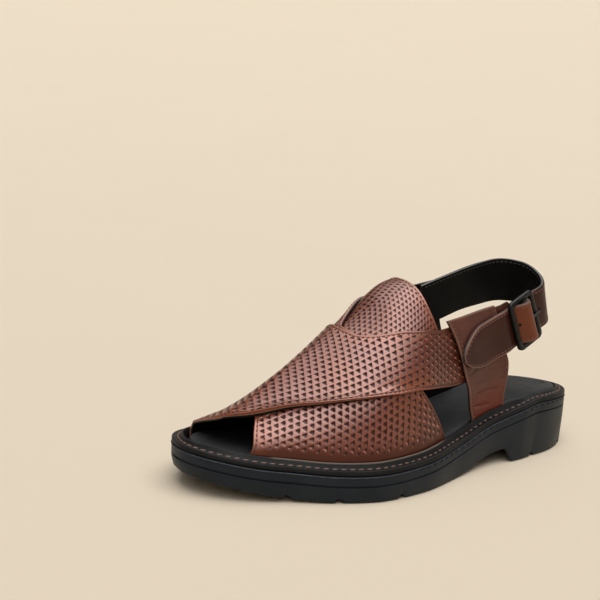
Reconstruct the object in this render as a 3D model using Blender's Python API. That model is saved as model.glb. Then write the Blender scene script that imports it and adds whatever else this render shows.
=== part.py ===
"""Left leather sandal: crossed straps and a tongue on a heeled rubber sole, with a buckled heel strap.

Shapes are worked out in the shoe's own frame, in metres: x runs from the heel (0) to the toe, y is
positive on the outer side of the foot, and z is the height over the floor. Every object is then placed
at ORIGIN, so that the finished part stands centred on the floor's origin with its toe along +X.
"""
import math
from typing import Callable, NamedTuple

import bmesh
import bpy
import numpy as np
from mathutils import Matrix, Vector

# Driving dimensions of the sole
LENGTH = 0.288
GAP = 0.0003
TOE_SWING = 0.0126
SWING_FROM = 0.55
SWING_POWER = 1.6
HEEL_ROUND = 0.19
HEEL_ROUND_POWER = 1.85
TOE_ROUND = 0.72
TOE_ROUND_POWER = 2.0
SIDE_STATIONS = 46
STATION_CLEAR = 0.0012

# Outsole below the welt: side line, groove round the side, tread and arch
WELT_THICKNESS = 0.0032
SIDE_GROOVE_DROP = 0.0095
SIDE_GROOVE_DEPTH = 0.0009
SIDE_GROOVE_HALF = 0.0008
RAND_ROUND = 0.0007
BOTTOM_INSET = 0.0012
BOTTOM_ROUND = 0.0012
HEEL_BREAST = 0.0695
BREAST_RUN = 0.0085
BREAST_HOLLOW = 0.0130
BREAST_STEPS = (0.0, 0.35, 0.65)
HOLLOW_STEPS = (0.33, 0.67, 1.0)
ARCH_FRONT = 0.131
ARCH_RISE = 0.0094
TREAD_CELLS_ACROSS = 4
SPRING_FROM = 0.207
TOE_SPRING = 0.0117
TREAD_GROOVES = (0.014, 0.050, 0.178, 0.217, 0.243)
TREAD_WIDTH = 0.0034
TREAD_DEPTH = 0.0020
TREAD_SLOPE = 0.0006

# Welt, insole and the slot between them that holds the straps' lower ends
LIP_HEIGHT = 0.0018
LIP_INSET = 0.0069
SLOT_GAP = 0.0004
INSOLE_CLEAR = 0.0013
INSOLE_ROUND = 0.0012
INSOLE_FALL = 0.0060
INSOLE_EDGE = 0.0004
INSOLE_CROWN = 0.0014
STRAP_ZONE = (0.066, 0.276)
ZONE_RAMP = 0.010
LEATHER_RISE = 0.0030
TUCK = 0.0056
TUCK_TURN = 0.1
STRAP_TUCKED = 0.08

# Leather thicknesses and the layers over the last
WALL = 0.0022
JOIN = 0.0009
TONGUE_WALL = 0.0018
QUARTER_WALL = 0.0020
QUARTER_LIFT = 0.0028
QUARTER_CLIMB = (0.012, 0.085)
OVER_CLIMB = (0.122, 0.148)
OVER_LAND = (0.88, 0.985)
HEEL_STRAP_WALL = 0.0022
FEATHER_INSET = LIP_INSET + SLOT_GAP + WALL

# Cells of each leather sheet, along and across
STRAP_CELLS = (30, 10)
TONGUE_CELLS = (9, 16)
QUARTER_CELLS = (6, 16)
HEEL_STRAP_CELLS = (66, 4)
TAB_CELLS_ACROSS = 3

# Tongue under the throat
TONGUE_REAR = 0.1425
TONGUE_SWEEP = 0.0085
TONGUE_FRONT = 0.204
TONGUE_TURN = (0.215, 0.785)
TONGUE_PUFF = 0.0022
TONGUE_PUFF_TURN = (0.06, 0.20)
TONGUE_PUFF_END = (0.150, 0.172)
TONGUE_CLEAR = 0.0009

# Heel strap: a straight outer run through the buckle, an arc behind the heel, a straight inner run
HEEL_ARC_CENTRE = (0.0552, 0.0030)
HEEL_ARC_RADIUS = 0.0232
OUTER_RUN_YAW = math.radians(12.0)
INNER_RUN_YAW = math.radians(0.0)
HEEL_ARC_SWEEP = math.pi - OUTER_RUN_YAW + INNER_RUN_YAW
FREE_END = 0.058
TIP_ROUND = 0.021
TIP_POWER = 1.7
TIP_BLUNT = 0.10
WOVEN = 0.014
HEEL_STRAP_SHARES = (0.0, 0.15, 0.25, 0.55, 1.0)
INNER_RUN = 0.0545
INNER_DRAPED = 0.022
FREE_DRAPED = (-0.0205, -0.0120)
WEAVE_SETTLES = (0.013, 0.026)
WEAVE_TOP = 0.0006

# Buckle: frame with a centre bar, and its prong, in the strap's own plane
FRAME_ALONG = 0.0250
FRAME_ACROSS = 0.0335
FRAME_BAR = 0.0032
FRAME_THICK = 0.0026
FRAME_CORNER = 0.0040
CENTRE_BAR_RADIUS = 0.0014
BUCKLE_FROM_ARC = 0.0139
PRONG_RADIUS = 0.0009
PRONG_PLAY = 0.0002
PRONG_SLOT = (0.0002, 0.0090)
PRONG_SLOT_WIDTH = 0.0032
PRONG_SLOT_DEEP = 0.024
PRONG_OVERHANG = 0.0008
TAB_WALL = 0.0014
TAB_WIDTH = 0.0240
TAB_PLAY = 0.00025
TAB_DEPTH = 0.0055
TAB_LOOP_DEGREES = (165.0, -90.0)
TAB_LOOP_POINTS = 11
TAB_SEWN = (0.0110, 0.0200)
TAB_NOTCH = (0.0100, 0.0014, 0.0100)
TAB_NOTCH_AT = (0.0006, 0.0, 0.0003)
FRAME_EDGE = 0.0006
FRAME_CORNER_STEPS = 4
CENTRE_BAR_SEGMENTS = 12
CENTRE_BAR_SHORT = 1.2 * FRAME_BAR
PRONG_HOOK_DEGREES = (-60.0, 90.0)
PRONG_HOOK_POINTS = 11
PRONG_SHANK_SHARES = (0.35, 0.70, 1.0)

# Points inside the leather, that its sheets look away from, and the angle over which an edge stays sharp
UPPER_INSIDE = (0.190, -0.005, 0.030)
TONGUE_INSIDE = (0.170, -0.005, 0.050)
QUARTER_INSIDE = (0.100, 0.0, 0.060)
SHARP_ANGLE = math.radians(40.0)

MATERIALS = {
    "rubber_black": ((0.012, 0.012, 0.014), 0.55, 0.0),
    "welt_leather": ((0.016, 0.015, 0.015), 0.60, 0.0),
    "insole_leather": ((0.014, 0.014, 0.015), 0.65, 0.0),
    "embossed_leather": ((0.170, 0.052, 0.030), 0.42, 0.0),
    "tongue_leather": ((0.180, 0.056, 0.032), 0.42, 0.0),
    "quarter_leather": ((0.100, 0.032, 0.020), 0.45, 0.0),
    "strap_leather": ((0.105, 0.034, 0.021), 0.45, 0.0),
    "tab_leather": ((0.110, 0.036, 0.023), 0.48, 0.0),
    "buckle_metal": ((0.010, 0.010, 0.010), 0.35, 1.0),
}


class SoleSection(NamedTuple):
    """One cross-section of the sole; half widths are those before the two ends close."""

    station: float
    lateral: float
    medial: float


class EdgeHeight(NamedTuple):
    """Height of the welt's top edge over the floor."""

    station: float
    height: float


class LastSection(NamedTuple):
    """One cross-section of the last: its ridge, the powers of its side and top, the inner side's share."""

    station: float
    ridge_y: float
    ridge_z: float
    side_power: float
    top_power: float
    inner_share: float


class StrapSection(NamedTuple):
    """Both edges of a crossed strap; a turn is 0 at the feather line where it starts, 1 opposite."""

    along: float
    front_x: float
    front_turn: float
    rear_x: float
    rear_turn: float


class QuarterSection(NamedTuple):
    """Rear and front edge of a quarter at one turn up from its own feather line."""

    turn: float
    rear_x: float
    front_x: float


class HeelStrapSection(NamedTuple):
    """Height, inward lean and width of the heel strap, along from the buckle's bar round the heel."""

    along: float
    height: float
    lean: float
    width: float


class TabPoint(NamedTuple):
    """One point of the buckle tab's middle line in the buckle's frame."""

    along: float
    out: float


class WeltCorner(NamedTuple):
    """One corner of the welt's section: inset from the outline, height, share of the lip."""

    inset: float
    height: float
    lip: float


SOLE = (
    SoleSection(0.00, 0.0315, 0.0348),
    SoleSection(0.16, 0.0315, 0.0348),
    SoleSection(0.22, 0.0345, 0.0341),
    SoleSection(0.30, 0.0358, 0.0321),
    SoleSection(0.42, 0.0436, 0.0310),
    SoleSection(0.55, 0.0555, 0.0380),
    SoleSection(0.66, 0.0590, 0.0470),
    SoleSection(0.76, 0.0518, 0.0515),
    SoleSection(0.86, 0.0445, 0.0566),
    SoleSection(1.00, 0.0445, 0.0566),
)

EDGE = (
    EdgeHeight(0.00, 0.0362),
    EdgeHeight(0.15, 0.0390),
    EdgeHeight(0.30, 0.0327),
    EdgeHeight(0.45, 0.0238),
    EdgeHeight(0.60, 0.0204),
    EdgeHeight(0.72, 0.0197),
    EdgeHeight(0.86, 0.0225),
    EdgeHeight(1.00, 0.0288),
)

LAST = (
    LastSection(0.28, 0.000, 0.1240, 0.55, 0.95, 1.00),
    LastSection(0.40, -0.001, 0.1205, 0.60, 0.95, 1.00),
    LastSection(0.50, -0.003, 0.1165, 0.75, 0.95, 1.00),
    LastSection(0.56, -0.004, 0.1095, 0.85, 0.95, 1.00),
    LastSection(0.62, -0.004, 0.0945, 0.95, 0.95, 1.12),
    LastSection(0.70, -0.004, 0.0775, 1.05, 1.05, 1.30),
    LastSection(0.78, -0.005, 0.0620, 1.20, 1.20, 1.35),
    LastSection(0.86, -0.007, 0.0460, 1.20, 1.20, 1.30),
    LastSection(0.92, -0.010, 0.0370, 1.10, 1.10, 1.30),
    LastSection(1.00, -0.015, 0.0330, 1.00, 1.00, 1.20),
)

OVER_STRAP = (
    StrapSection(0.00, 0.1080, 0.092, 0.1140, 0.242),
    StrapSection(0.08, 0.1200, 0.094, 0.1300, 0.243),
    StrapSection(0.25, 0.1640, 0.134, 0.1520, 0.264),
    StrapSection(0.40, 0.2040, 0.212, 0.1720, 0.322),
    StrapSection(0.55, 0.2300, 0.277, 0.1850, 0.410),
    StrapSection(0.70, 0.2490, 0.347, 0.1865, 0.492),
    StrapSection(0.80, 0.2600, 0.460, 0.1820, 0.640),
    StrapSection(0.90, 0.2695, 0.660, 0.1680, 0.830),
    StrapSection(1.00, 0.2735, 1.000, 0.1400, 1.000),
)

UNDER_STRAP = (
    StrapSection(0.00, 0.1080, 0.092, 0.1140, 0.242),
    StrapSection(0.08, 0.1200, 0.094, 0.1300, 0.262),
    StrapSection(0.25, 0.1600, 0.134, 0.1520, 0.345),
    StrapSection(0.40, 0.1980, 0.212, 0.1680, 0.410),
    StrapSection(0.55, 0.2240, 0.330, 0.1790, 0.460),
    StrapSection(0.70, 0.2400, 0.500, 0.1845, 0.530),
    StrapSection(0.80, 0.2480, 0.650, 0.1820, 0.660),
    StrapSection(0.90, 0.2540, 0.800, 0.1630, 0.840),
    StrapSection(1.00, 0.2580, 1.000, 0.1340, 1.000),
)

OUTER_QUARTER = (
    QuarterSection(0.000, 0.0755, 0.1050),
    QuarterSection(0.095, 0.0760, 0.1165),
    QuarterSection(0.125, 0.0785, 0.1195),
    QuarterSection(0.175, 0.0830, 0.1235),
    QuarterSection(0.240, 0.0870, 0.1300),
    QuarterSection(0.264, 0.0885, 0.1325),
)

INNER_QUARTER = (
    QuarterSection(0.000, 0.0755, 0.1050),
    QuarterSection(0.095, 0.0820, 0.1165),
    QuarterSection(0.175, 0.0895, 0.1235),
    QuarterSection(0.240, 0.0940, 0.1300),
    QuarterSection(0.300, 0.0965, 0.1340),
    QuarterSection(0.330, 0.0980, 0.1350),
)

HEEL_STRAP = (
    HeelStrapSection(-0.058, 0.0740, 7.0, 0.0260),
    HeelStrapSection(-0.014, 0.0866, 7.0, 0.0260),
    HeelStrapSection(0.014, 0.0960, 8.0, 0.0260),
    HeelStrapSection(0.046, 0.1046, 14.0, 0.0285),
    HeelStrapSection(0.060, 0.1080, 14.0, 0.0295),
    HeelStrapSection(0.070, 0.1085, 12.0, 0.0298),
    HeelStrapSection(0.086, 0.1066, 9.0, 0.0300),
    HeelStrapSection(0.104, 0.1038, 8.0, 0.0300),
    HeelStrapSection(0.122, 0.0990, 8.0, 0.0300),
    HeelStrapSection(0.138, 0.0942, 8.0, 0.0300),
)

TAB_LEAD = (
    TabPoint(-0.0030, -0.0030),
    TabPoint(-0.0062, -0.0043),
    TabPoint(-0.0100, -0.0052),
)

TAB_RUN = (
    TabPoint(-0.0150, -TAB_DEPTH),
    TabPoint(-0.0210, -TAB_DEPTH),
    TabPoint(-0.0280, -TAB_DEPTH),
    TabPoint(-0.0360, -TAB_DEPTH),
)

WELT_PROFILE = (
    WeltCorner(0.0006, -WELT_THICKNESS, 0.0),
    WeltCorner(0.0000, -0.0022, 0.0),
    WeltCorner(0.0000, -0.0008, 0.0),
    WeltCorner(0.0008, -0.0001, 0.0),
    WeltCorner(0.0022, 0.0002, 0.0),
    WeltCorner(0.0052, 0.0006, 0.0),
    WeltCorner(0.0057, 0.0008, 1.0),
    WeltCorner(LIP_INSET, 0.0010, 1.0),
    WeltCorner(LIP_INSET, -WELT_THICKNESS, 0.0),
)


def follow(table: tuple, name: str, at: np.ndarray) -> np.ndarray:
    """Read a table's named column at any place, by a monotone cubic through its rows.

    Args:
        table: Rows whose first field is the place along the table.
        name: The column to read.
        at: Places, held to the table's range.

    Returns:
        The column's value at each place.
    """
    places = np.array([row[0] for row in table])
    values = np.array([getattr(row, name) for row in table])
    steps = np.diff(places)
    slopes = np.diff(values) / steps
    tangents = np.zeros(len(places))
    tangents[0] = slopes[0]
    tangents[-1] = slopes[-1]
    for i in range(1, len(places) - 1):
        if slopes[i - 1] * slopes[i] > 0:
            near = 2 * steps[i] + steps[i - 1]
            far = steps[i] + 2 * steps[i - 1]
            tangents[i] = (near + far) / (near / slopes[i - 1] + far / slopes[i])
    at = np.clip(np.asarray(at, dtype=float), places[0], places[-1])
    cell = np.clip(np.searchsorted(places, at) - 1, 0, len(steps) - 1)
    t = (at - places[cell]) / steps[cell]
    start = (1 + 2 * t) * (1 - t) ** 2 * values[cell] + t * (1 - t) ** 2 * steps[cell] * tangents[cell]
    end = t * t * (3 - 2 * t) * values[cell + 1] + t * t * (t - 1) * steps[cell] * tangents[cell + 1]
    return start + end


def ease(value: np.ndarray, start: float, stop: float) -> np.ndarray:
    """Rise smoothly from 0 at start to 1 at stop."""
    t = np.clip((np.asarray(value, dtype=float) - start) / (stop - start), 0.0, 1.0)
    return t * t * (3 - 2 * t)


def unit(vectors: np.ndarray) -> np.ndarray:
    """Scale vectors to length 1 along their last axis."""
    return vectors / np.linalg.norm(vectors, axis=-1, keepdims=True)


# Sole outline and heights


def end_closing(station: np.ndarray) -> np.ndarray:
    """Share of the half width that is left where the heel and the toe round off."""
    heel = np.clip(1 - station / HEEL_ROUND, 0, 1)
    toe = np.clip((station - TOE_ROUND) / (1 - TOE_ROUND), 0, 1)
    rear = (1 - heel**HEEL_ROUND_POWER) ** (1 / HEEL_ROUND_POWER)
    front = (1 - toe**TOE_ROUND_POWER) ** (1 / TOE_ROUND_POWER)
    return rear * front


def outline_y(station: np.ndarray, side: int) -> np.ndarray:
    """Outline's y at a station, on the outer side (+1) or the inner side (-1)."""
    swing = np.clip((station - SWING_FROM) / (1 - SWING_FROM), 0, 1) ** SWING_POWER
    half = follow(SOLE, "lateral" if side > 0 else "medial", station) * end_closing(station)
    return side * half - TOE_SWING * swing


def edge_z(x: np.ndarray) -> np.ndarray:
    """Height of the welt's top edge at x."""
    return follow(EDGE, "height", np.asarray(x) / LENGTH)


def bottom_z(x: np.ndarray, across: np.ndarray) -> np.ndarray:
    """Height of the tread: heel, hollow breast, arch, forefoot and toe spring, without its grooves.

    Args:
        x: Distance from the heel.
        across: Share of the way from one edge of the sole to the other.

    Returns:
        Heights over the floor.
    """
    x = np.asarray(x, dtype=float)
    set_back = BREAST_HOLLOW * 4 * across * (1 - across)
    breast = ease(x + set_back, HEEL_BREAST, HEEL_BREAST + BREAST_RUN)
    run_out = 1 - ease(x, HEEL_BREAST + BREAST_RUN, ARCH_FRONT)
    arch = ARCH_RISE * np.minimum(breast, run_out)
    spring = TOE_SPRING * np.clip((x - SPRING_FROM) / (LENGTH - SPRING_FROM), 0, 1) ** 2
    return arch + spring


def tread_groove(x: np.ndarray) -> np.ndarray:
    """Depth of the cross grooves in the tread at x."""
    depth = np.zeros_like(np.asarray(x, dtype=float))
    for centre in TREAD_GROOVES:
        away = np.abs(x - centre)
        cut = np.clip((TREAD_WIDTH / 2 + TREAD_SLOPE - away) / TREAD_SLOPE, 0, 1)
        depth = np.maximum(depth, cut * TREAD_DEPTH)
    return depth


def even_stations() -> np.ndarray:
    """Stations along the sole, closer together at the two ends."""
    turns = np.linspace(0, math.pi, SIDE_STATIONS + 1)
    return 0.5 * (1 - np.cos(turns))


def tread_stations() -> np.ndarray:
    """The even stations, with those at the grooves and the heel breast moved to their edges."""
    edges = []
    for centre in TREAD_GROOVES:
        for offset in (TREAD_WIDTH / 2, TREAD_WIDTH / 2 + TREAD_SLOPE):
            edges += [centre - offset, centre + offset]
    edges += [HEEL_BREAST + step * BREAST_RUN for step in BREAST_STEPS]
    edges += [HEEL_BREAST - step * BREAST_HOLLOW for step in HOLLOW_STEPS]
    edges = np.array(sorted(edges)) / LENGTH
    clear = STATION_CLEAR / LENGTH
    kept = [s for s in even_stations() if np.abs(edges - s).min() > clear or s in (0.0, 1.0)]
    return np.array(sorted(kept + list(edges)))


def outline_loop(stations: np.ndarray, inset: np.ndarray) -> np.ndarray:
    """Closed outline in plan, moved inwards along its own normals.

    Args:
        stations: Stations from heel (0) to toe (1).
        inset: Distance inwards, one value or one for each point of the loop.

    Returns:
        Points (n, 2): the outer side from heel to toe, then the inner side back to the heel.
    """
    back = stations[-2:0:-1]
    x = np.concatenate([stations, back]) * LENGTH
    y = np.concatenate([outline_y(stations, 1), outline_y(back, -1)])
    y[0] = 0.0
    points = np.stack([x, y], axis=1)
    edges = unit(np.roll(points, -1, axis=0) - points)
    outward = np.stack([-edges[:, 1], edges[:, 0]], axis=1)
    outward = unit(outward + np.roll(outward, 1, axis=0))
    return points - outward * np.broadcast_to(inset, len(points))[:, None]


def strap_zone(x: np.ndarray) -> np.ndarray:
    """1 where straps enter the sole's edge, falling to 0 behind the heel and before the toe."""
    return ease(x, STRAP_ZONE[0] - ZONE_RAMP, STRAP_ZONE[0]) * (
        1 - ease(x, STRAP_ZONE[1], STRAP_ZONE[1] + ZONE_RAMP)
    )


EVEN = even_stations()
FULL_LOOP = outline_loop(EVEN, 0.0)
FEATHER_LOOP = outline_loop(np.linspace(0.004, 0.996, 260), FEATHER_INSET)
ORIGIN = Vector((-LENGTH / 2, -(FULL_LOOP[:, 1].max() + FULL_LOOP[:, 1].min()) / 2, 0.0))


# The last that the leather lies on


def feather_y(x: np.ndarray, side: int) -> np.ndarray:
    """Inner face of the leather where it meets the sole, on the outer (+1) or inner (-1) side."""
    count = len(FEATHER_LOOP) // 2 + 1
    half = FEATHER_LOOP[:count] if side > 0 else FEATHER_LOOP[count - 1:]
    order = np.argsort(half[:, 0])
    return np.interp(x, half[order, 0], half[order, 1])


def last_point(x: np.ndarray, turn: np.ndarray) -> np.ndarray:
    """Point of the last's surface, the inner face of the lower strap.

    Args:
        x: Distance from the heel.
        turn: 0 on the outer feather line, 0.5 on the ridge, 1 on the inner feather line. Values
            past either end drop straight down into the slot beside the insole, by TUCK for TUCK_TURN.

    Returns:
        Points (n, 3).
    """
    x = np.asarray(x, dtype=float)
    turn = np.asarray(turn, dtype=float)
    station = x / LENGTH
    ridge_y = follow(LAST, "ridge_y", station)
    ridge_z = follow(LAST, "ridge_z", station)
    angle = np.pi * np.clip(turn, 0, 1)
    feather = np.where(turn <= 0.5, feather_y(x, 1), feather_y(x, -1))
    base = edge_z(x) + LEATHER_RISE
    share = np.where(turn <= 0.5, 1.0, follow(LAST, "inner_share", station))
    side_power = share * follow(LAST, "side_power", station)
    top_power = share * follow(LAST, "top_power", station)
    y = ridge_y + (feather - ridge_y) * np.abs(np.cos(angle)) ** side_power
    z = base + (ridge_z - base) * np.sin(angle) ** top_power
    beyond = np.maximum(-turn, turn - 1)
    return np.stack([x, y, z - np.clip(beyond, 0, None) * TUCK / TUCK_TURN], axis=-1)


def on_last(x: np.ndarray, turn: np.ndarray, lift: np.ndarray) -> np.ndarray:
    """Point at a distance outside the last's surface, along its normal."""
    step = 0.0004
    small = 0.004
    along = last_point(x + step, turn) - last_point(x - step, turn)
    around = last_point(x, turn + small) - last_point(x, turn - small)
    outward = unit(np.cross(around, along))
    return last_point(x, turn) + outward * np.broadcast_to(lift, np.shape(x))[..., None]


def last_side_y(x: np.ndarray, z: np.ndarray, side: int) -> np.ndarray:
    """The last's y at a given x and height, on the outer (+1) or inner (-1) side."""
    station = np.asarray(x) / LENGTH
    base = edge_z(x) + LEATHER_RISE
    ridge_z = follow(LAST, "ridge_z", station)
    ridge_y = follow(LAST, "ridge_y", station)
    share = 1.0 if side > 0 else follow(LAST, "inner_share", station)
    risen = np.clip((z - base) / (ridge_z - base), 0, 0.98)
    angle = np.arcsin(risen ** (1 / (share * follow(LAST, "top_power", station))))
    reach = np.cos(angle) ** (share * follow(LAST, "side_power", station))
    return ridge_y + (feather_y(x, side) - ridge_y) * reach


# Path of the heel strap, and the plane of its buckle


def heel_path(along: np.ndarray) -> tuple:
    """Centre line of the heel strap in plan.

    Args:
        along: Distance from the buckle's centre bar, positive towards the heel.

    Returns:
        Points (n, 2), unit directions (n, 2) and outward normals (n, 2) in plan.
    """
    along = np.asarray(along, dtype=float)
    turned = np.clip((along - BUCKLE_FROM_ARC) / HEEL_ARC_RADIUS, 0, HEEL_ARC_SWEEP)
    angle = math.pi / 2 + OUTER_RUN_YAW + turned
    normal = np.stack([np.cos(angle), np.sin(angle)], axis=-1)
    direction = np.stack([-np.sin(angle), np.cos(angle)], axis=-1)
    straight = along - BUCKLE_FROM_ARC - turned * HEEL_ARC_RADIUS
    point = np.array(HEEL_ARC_CENTRE) + HEEL_ARC_RADIUS * normal + straight[..., None] * direction
    return point, direction, normal


def heel_frame(along: np.ndarray) -> tuple:
    """Centre points, directions along, across (upwards) and outwards of the heel strap."""
    ahead = 0.0005
    point, direction, normal = heel_path(along)
    height = follow(HEEL_STRAP, "height", along)
    climb = (follow(HEEL_STRAP, "height", along + ahead) - follow(HEEL_STRAP, "height", along - ahead)) / (
        2 * ahead
    )
    lean = np.radians(follow(HEEL_STRAP, "lean", along))[..., None]
    centre = np.concatenate([point, height[..., None]], axis=-1)
    forward = unit(np.concatenate([direction, climb[..., None]], axis=-1))
    flat = np.concatenate([normal, np.zeros_like(height)[..., None]], axis=-1)
    upright = np.cross(flat, forward)
    upright = upright * np.sign(upright[..., 2:3])
    across = np.cos(lean) * upright - np.sin(lean) * flat
    outward = np.cos(lean) * flat + np.sin(lean) * upright
    return centre, forward, across, outward


def buckle_matrix() -> Matrix:
    """Buckle's own frame: x along the strap to the heel, y across it upwards, z outwards."""
    centre, forward, across, outward = heel_frame(np.array(0.0))
    matrix = Matrix.Identity(4)
    for column, axis in enumerate((forward, np.cross(outward, forward), outward, centre)):
        for row in range(3):
            matrix[row][column] = float(axis[row])
    return matrix


# Objects, meshes and modifiers


def material(name: str) -> bpy.types.Material:
    """Make the named material from the table of colours, roughness and metallic values."""
    colour, roughness, metallic = MATERIALS[name]
    made = bpy.data.materials.new(name)
    made.use_nodes = True
    shader = made.node_tree.nodes["Principled BSDF"]
    shader.inputs["Base Color"].default_value = (*colour, 1.0)
    shader.inputs["Roughness"].default_value = roughness
    shader.inputs["Metallic"].default_value = metallic
    return made


def add_object(name: str, bm: bmesh.types.BMesh, finish: str = "") -> bpy.types.Object:
    """Turn a bmesh into a placed object, shaded smooth; without a finish it is a hidden helper."""
    mesh = bpy.data.meshes.new(name)
    bm.to_mesh(mesh)
    bm.free()
    made = bpy.data.objects.new(name, mesh)
    bpy.context.scene.collection.objects.link(made)
    made.location = ORIGIN
    if finish:
        mesh.materials.append(material(finish))
        mesh.shade_smooth()
        mesh.set_sharp_from_angle(angle=SHARP_ANGLE)
    else:
        made.hide_render = True
        made.display_type = "WIRE"
    return made


def add_boolean(target: bpy.types.Object, tool: bpy.types.Object, operation: str) -> None:
    """Join or cut an object with a hidden helper."""
    step = target.modifiers.new(f"{operation.lower()} {tool.name}", "BOOLEAN")
    step.operation = operation
    step.solver = "EXACT"
    step.object = tool


def add_wall(target: bpy.types.Object, thickness: float, offset: float) -> None:
    """Give a sheet its thickness: offset 1 builds it outwards, -1 inwards, 0 to both sides."""
    step = target.modifiers.new("wall", "SOLIDIFY")
    step.thickness = thickness
    step.offset = offset
    step.use_even_offset = True
    step.use_quality_normals = True


def sheet_mesh(surface: Callable, cells: tuple) -> bmesh.types.BMesh:
    """Lay a grid on a surface.

    Args:
        surface: Takes two arrays of 0 to 1 and returns points (n, 3).
        cells: Number of cells in the two directions.

    Returns:
        The open sheet.
    """
    bm = bmesh.new()
    bmesh.ops.create_grid(bm, x_segments=cells[0], y_segments=cells[1], size=0.5)
    flat = np.array([vertex.co for vertex in bm.verts])
    for vertex, point in zip(bm.verts, surface(flat[:, 0] + 0.5, flat[:, 1] + 0.5)):
        vertex.co = point
    bm.normal_update()
    return bm


def face_outwards(bm: bmesh.types.BMesh, inside: Vector) -> None:
    """Turn a sheet's faces so that they look away from a point inside it."""
    seen = sum(face.normal.dot(face.calc_center_median() - inside) for face in bm.faces)
    if seen < 0:
        bmesh.ops.reverse_faces(bm, faces=bm.faces)


def cap_ring(bm: bmesh.types.BMesh, ring: list, cells: int, height: Callable) -> None:
    """Close a ring round the outline loop with rungs from its outer side to its inner side.

    Args:
        bm: The mesh that holds the ring.
        ring: The ring's vertices, from the heel round the outer side to the toe and back.
        cells: Number of cells across.
        height: Takes x and the share across, and returns the height inside the ring.
    """
    rungs = []
    for i in range(len(ring) // 2 + 1):
        start = ring[i]
        stop = ring[-i % len(ring)]
        rung = [start] * cells
        if start is not stop:
            for step in range(1, cells):
                point = start.co.lerp(stop.co, step / cells)
                point.z = height(point.x, step / cells)
                rung[step] = bm.verts.new(point)
        rungs.append(rung + [stop])
    for low, high in zip(rungs, rungs[1:]):
        for j in range(cells):
            corners = [low[j], low[j + 1], high[j + 1], high[j]]
            bm.faces.new(list(dict.fromkeys(corners)))


def loft_mesh(rings: list, capped: bool, cells: int = 1, height: Callable = None) -> bmesh.types.BMesh:
    """Join rings of equal length into one closed body.

    Args:
        rings: Arrays (n, 3), each ring round the outline loop.
        capped: Close the first and last ring across the sole; otherwise join them to each other.
        cells: Cells across the first ring's cap.
        height: Height inside the first ring's cap where it has more than one cell.

    Returns:
        The closed body, its faces outwards.
    """
    bm = bmesh.new()
    made = [[bm.verts.new(point) for point in ring] for ring in rings]
    count = len(rings[0])
    follow_on = made[1:] if capped else made[1:] + made[:1]
    for low, high in zip(made, follow_on):
        for i in range(count):
            j = (i + 1) % count
            bm.faces.new((low[i], low[j], high[j], high[i]))
    if capped:
        cap_ring(bm, made[0], cells, height)
        cap_ring(bm, made[-1], 1, height)
    bmesh.ops.recalc_face_normals(bm, faces=bm.faces)
    return bm


def lift_loop(loop: np.ndarray, height: np.ndarray) -> np.ndarray:
    """Add heights to a loop in plan."""
    return np.concatenate([loop, np.broadcast_to(height, len(loop))[:, None]], axis=1)


# Sole pieces


def build_outsole() -> bpy.types.Object:
    """Rubber unit with heel, arch, toe spring, cross grooves below and a groove round its side."""
    stations = tread_stations()
    plan = outline_loop(stations, 0.0)
    floor = bottom_z(plan[:, 0], 0.0) + tread_groove(plan[:, 0])
    roof = edge_z(plan[:, 0]) - WELT_THICKNESS - GAP
    groove = edge_z(plan[:, 0]) - SIDE_GROOVE_DROP
    rows = (
        (BOTTOM_INSET + BOTTOM_ROUND, floor),
        (BOTTOM_INSET, floor + BOTTOM_ROUND),
        (0.0, groove - SIDE_GROOVE_HALF),
        (SIDE_GROOVE_DEPTH, groove),
        (0.0, groove + SIDE_GROOVE_HALF),
        (0.0, roof - RAND_ROUND),
        (RAND_ROUND, roof),
    )
    rings = [lift_loop(outline_loop(stations, inset), height) for inset, height in rows]

    def tread_height(x: float, across: float) -> float:
        return float(bottom_z(x, across) + tread_groove(np.array(x)))

    body = loft_mesh(rings, True, TREAD_CELLS_ACROSS, tread_height)
    return add_object("outsole", body, "rubber_black")


def build_welt() -> bpy.types.Object:
    """Leather strip round the sole's edge, with a lip beside the straps' lower ends."""
    rings = []
    for corner in WELT_PROFILE:
        loop = outline_loop(EVEN, corner.inset)
        lip = LIP_HEIGHT * corner.lip * strap_zone(loop[:, 0])
        rings.append(lift_loop(loop, edge_z(loop[:, 0]) + corner.height + lip))
    return add_object("welt", loft_mesh(rings, capped=False), "welt_leather")


def build_insole() -> bpy.types.Object:
    """Leather footbed inside the welt, cut back where the straps pass it."""
    zone = strap_zone(outline_loop(EVEN, LIP_INSET)[:, 0])
    edge = LIP_INSET + GAP + zone * (FEATHER_INSET + INSOLE_CLEAR - LIP_INSET - GAP)
    rows = (
        (edge, -WELT_THICKNESS),
        (edge, INSOLE_EDGE),
        (edge + INSOLE_ROUND, INSOLE_CROWN),
        (edge + INSOLE_FALL, INSOLE_CROWN),
    )
    rings = []
    for inset, height in rows:
        loop = outline_loop(EVEN, inset)
        rings.append(lift_loop(loop, edge_z(loop[:, 0]) + height))
    return add_object("insole", loft_mesh(rings, capped=True), "insole_leather")


# Leather over the last


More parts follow.
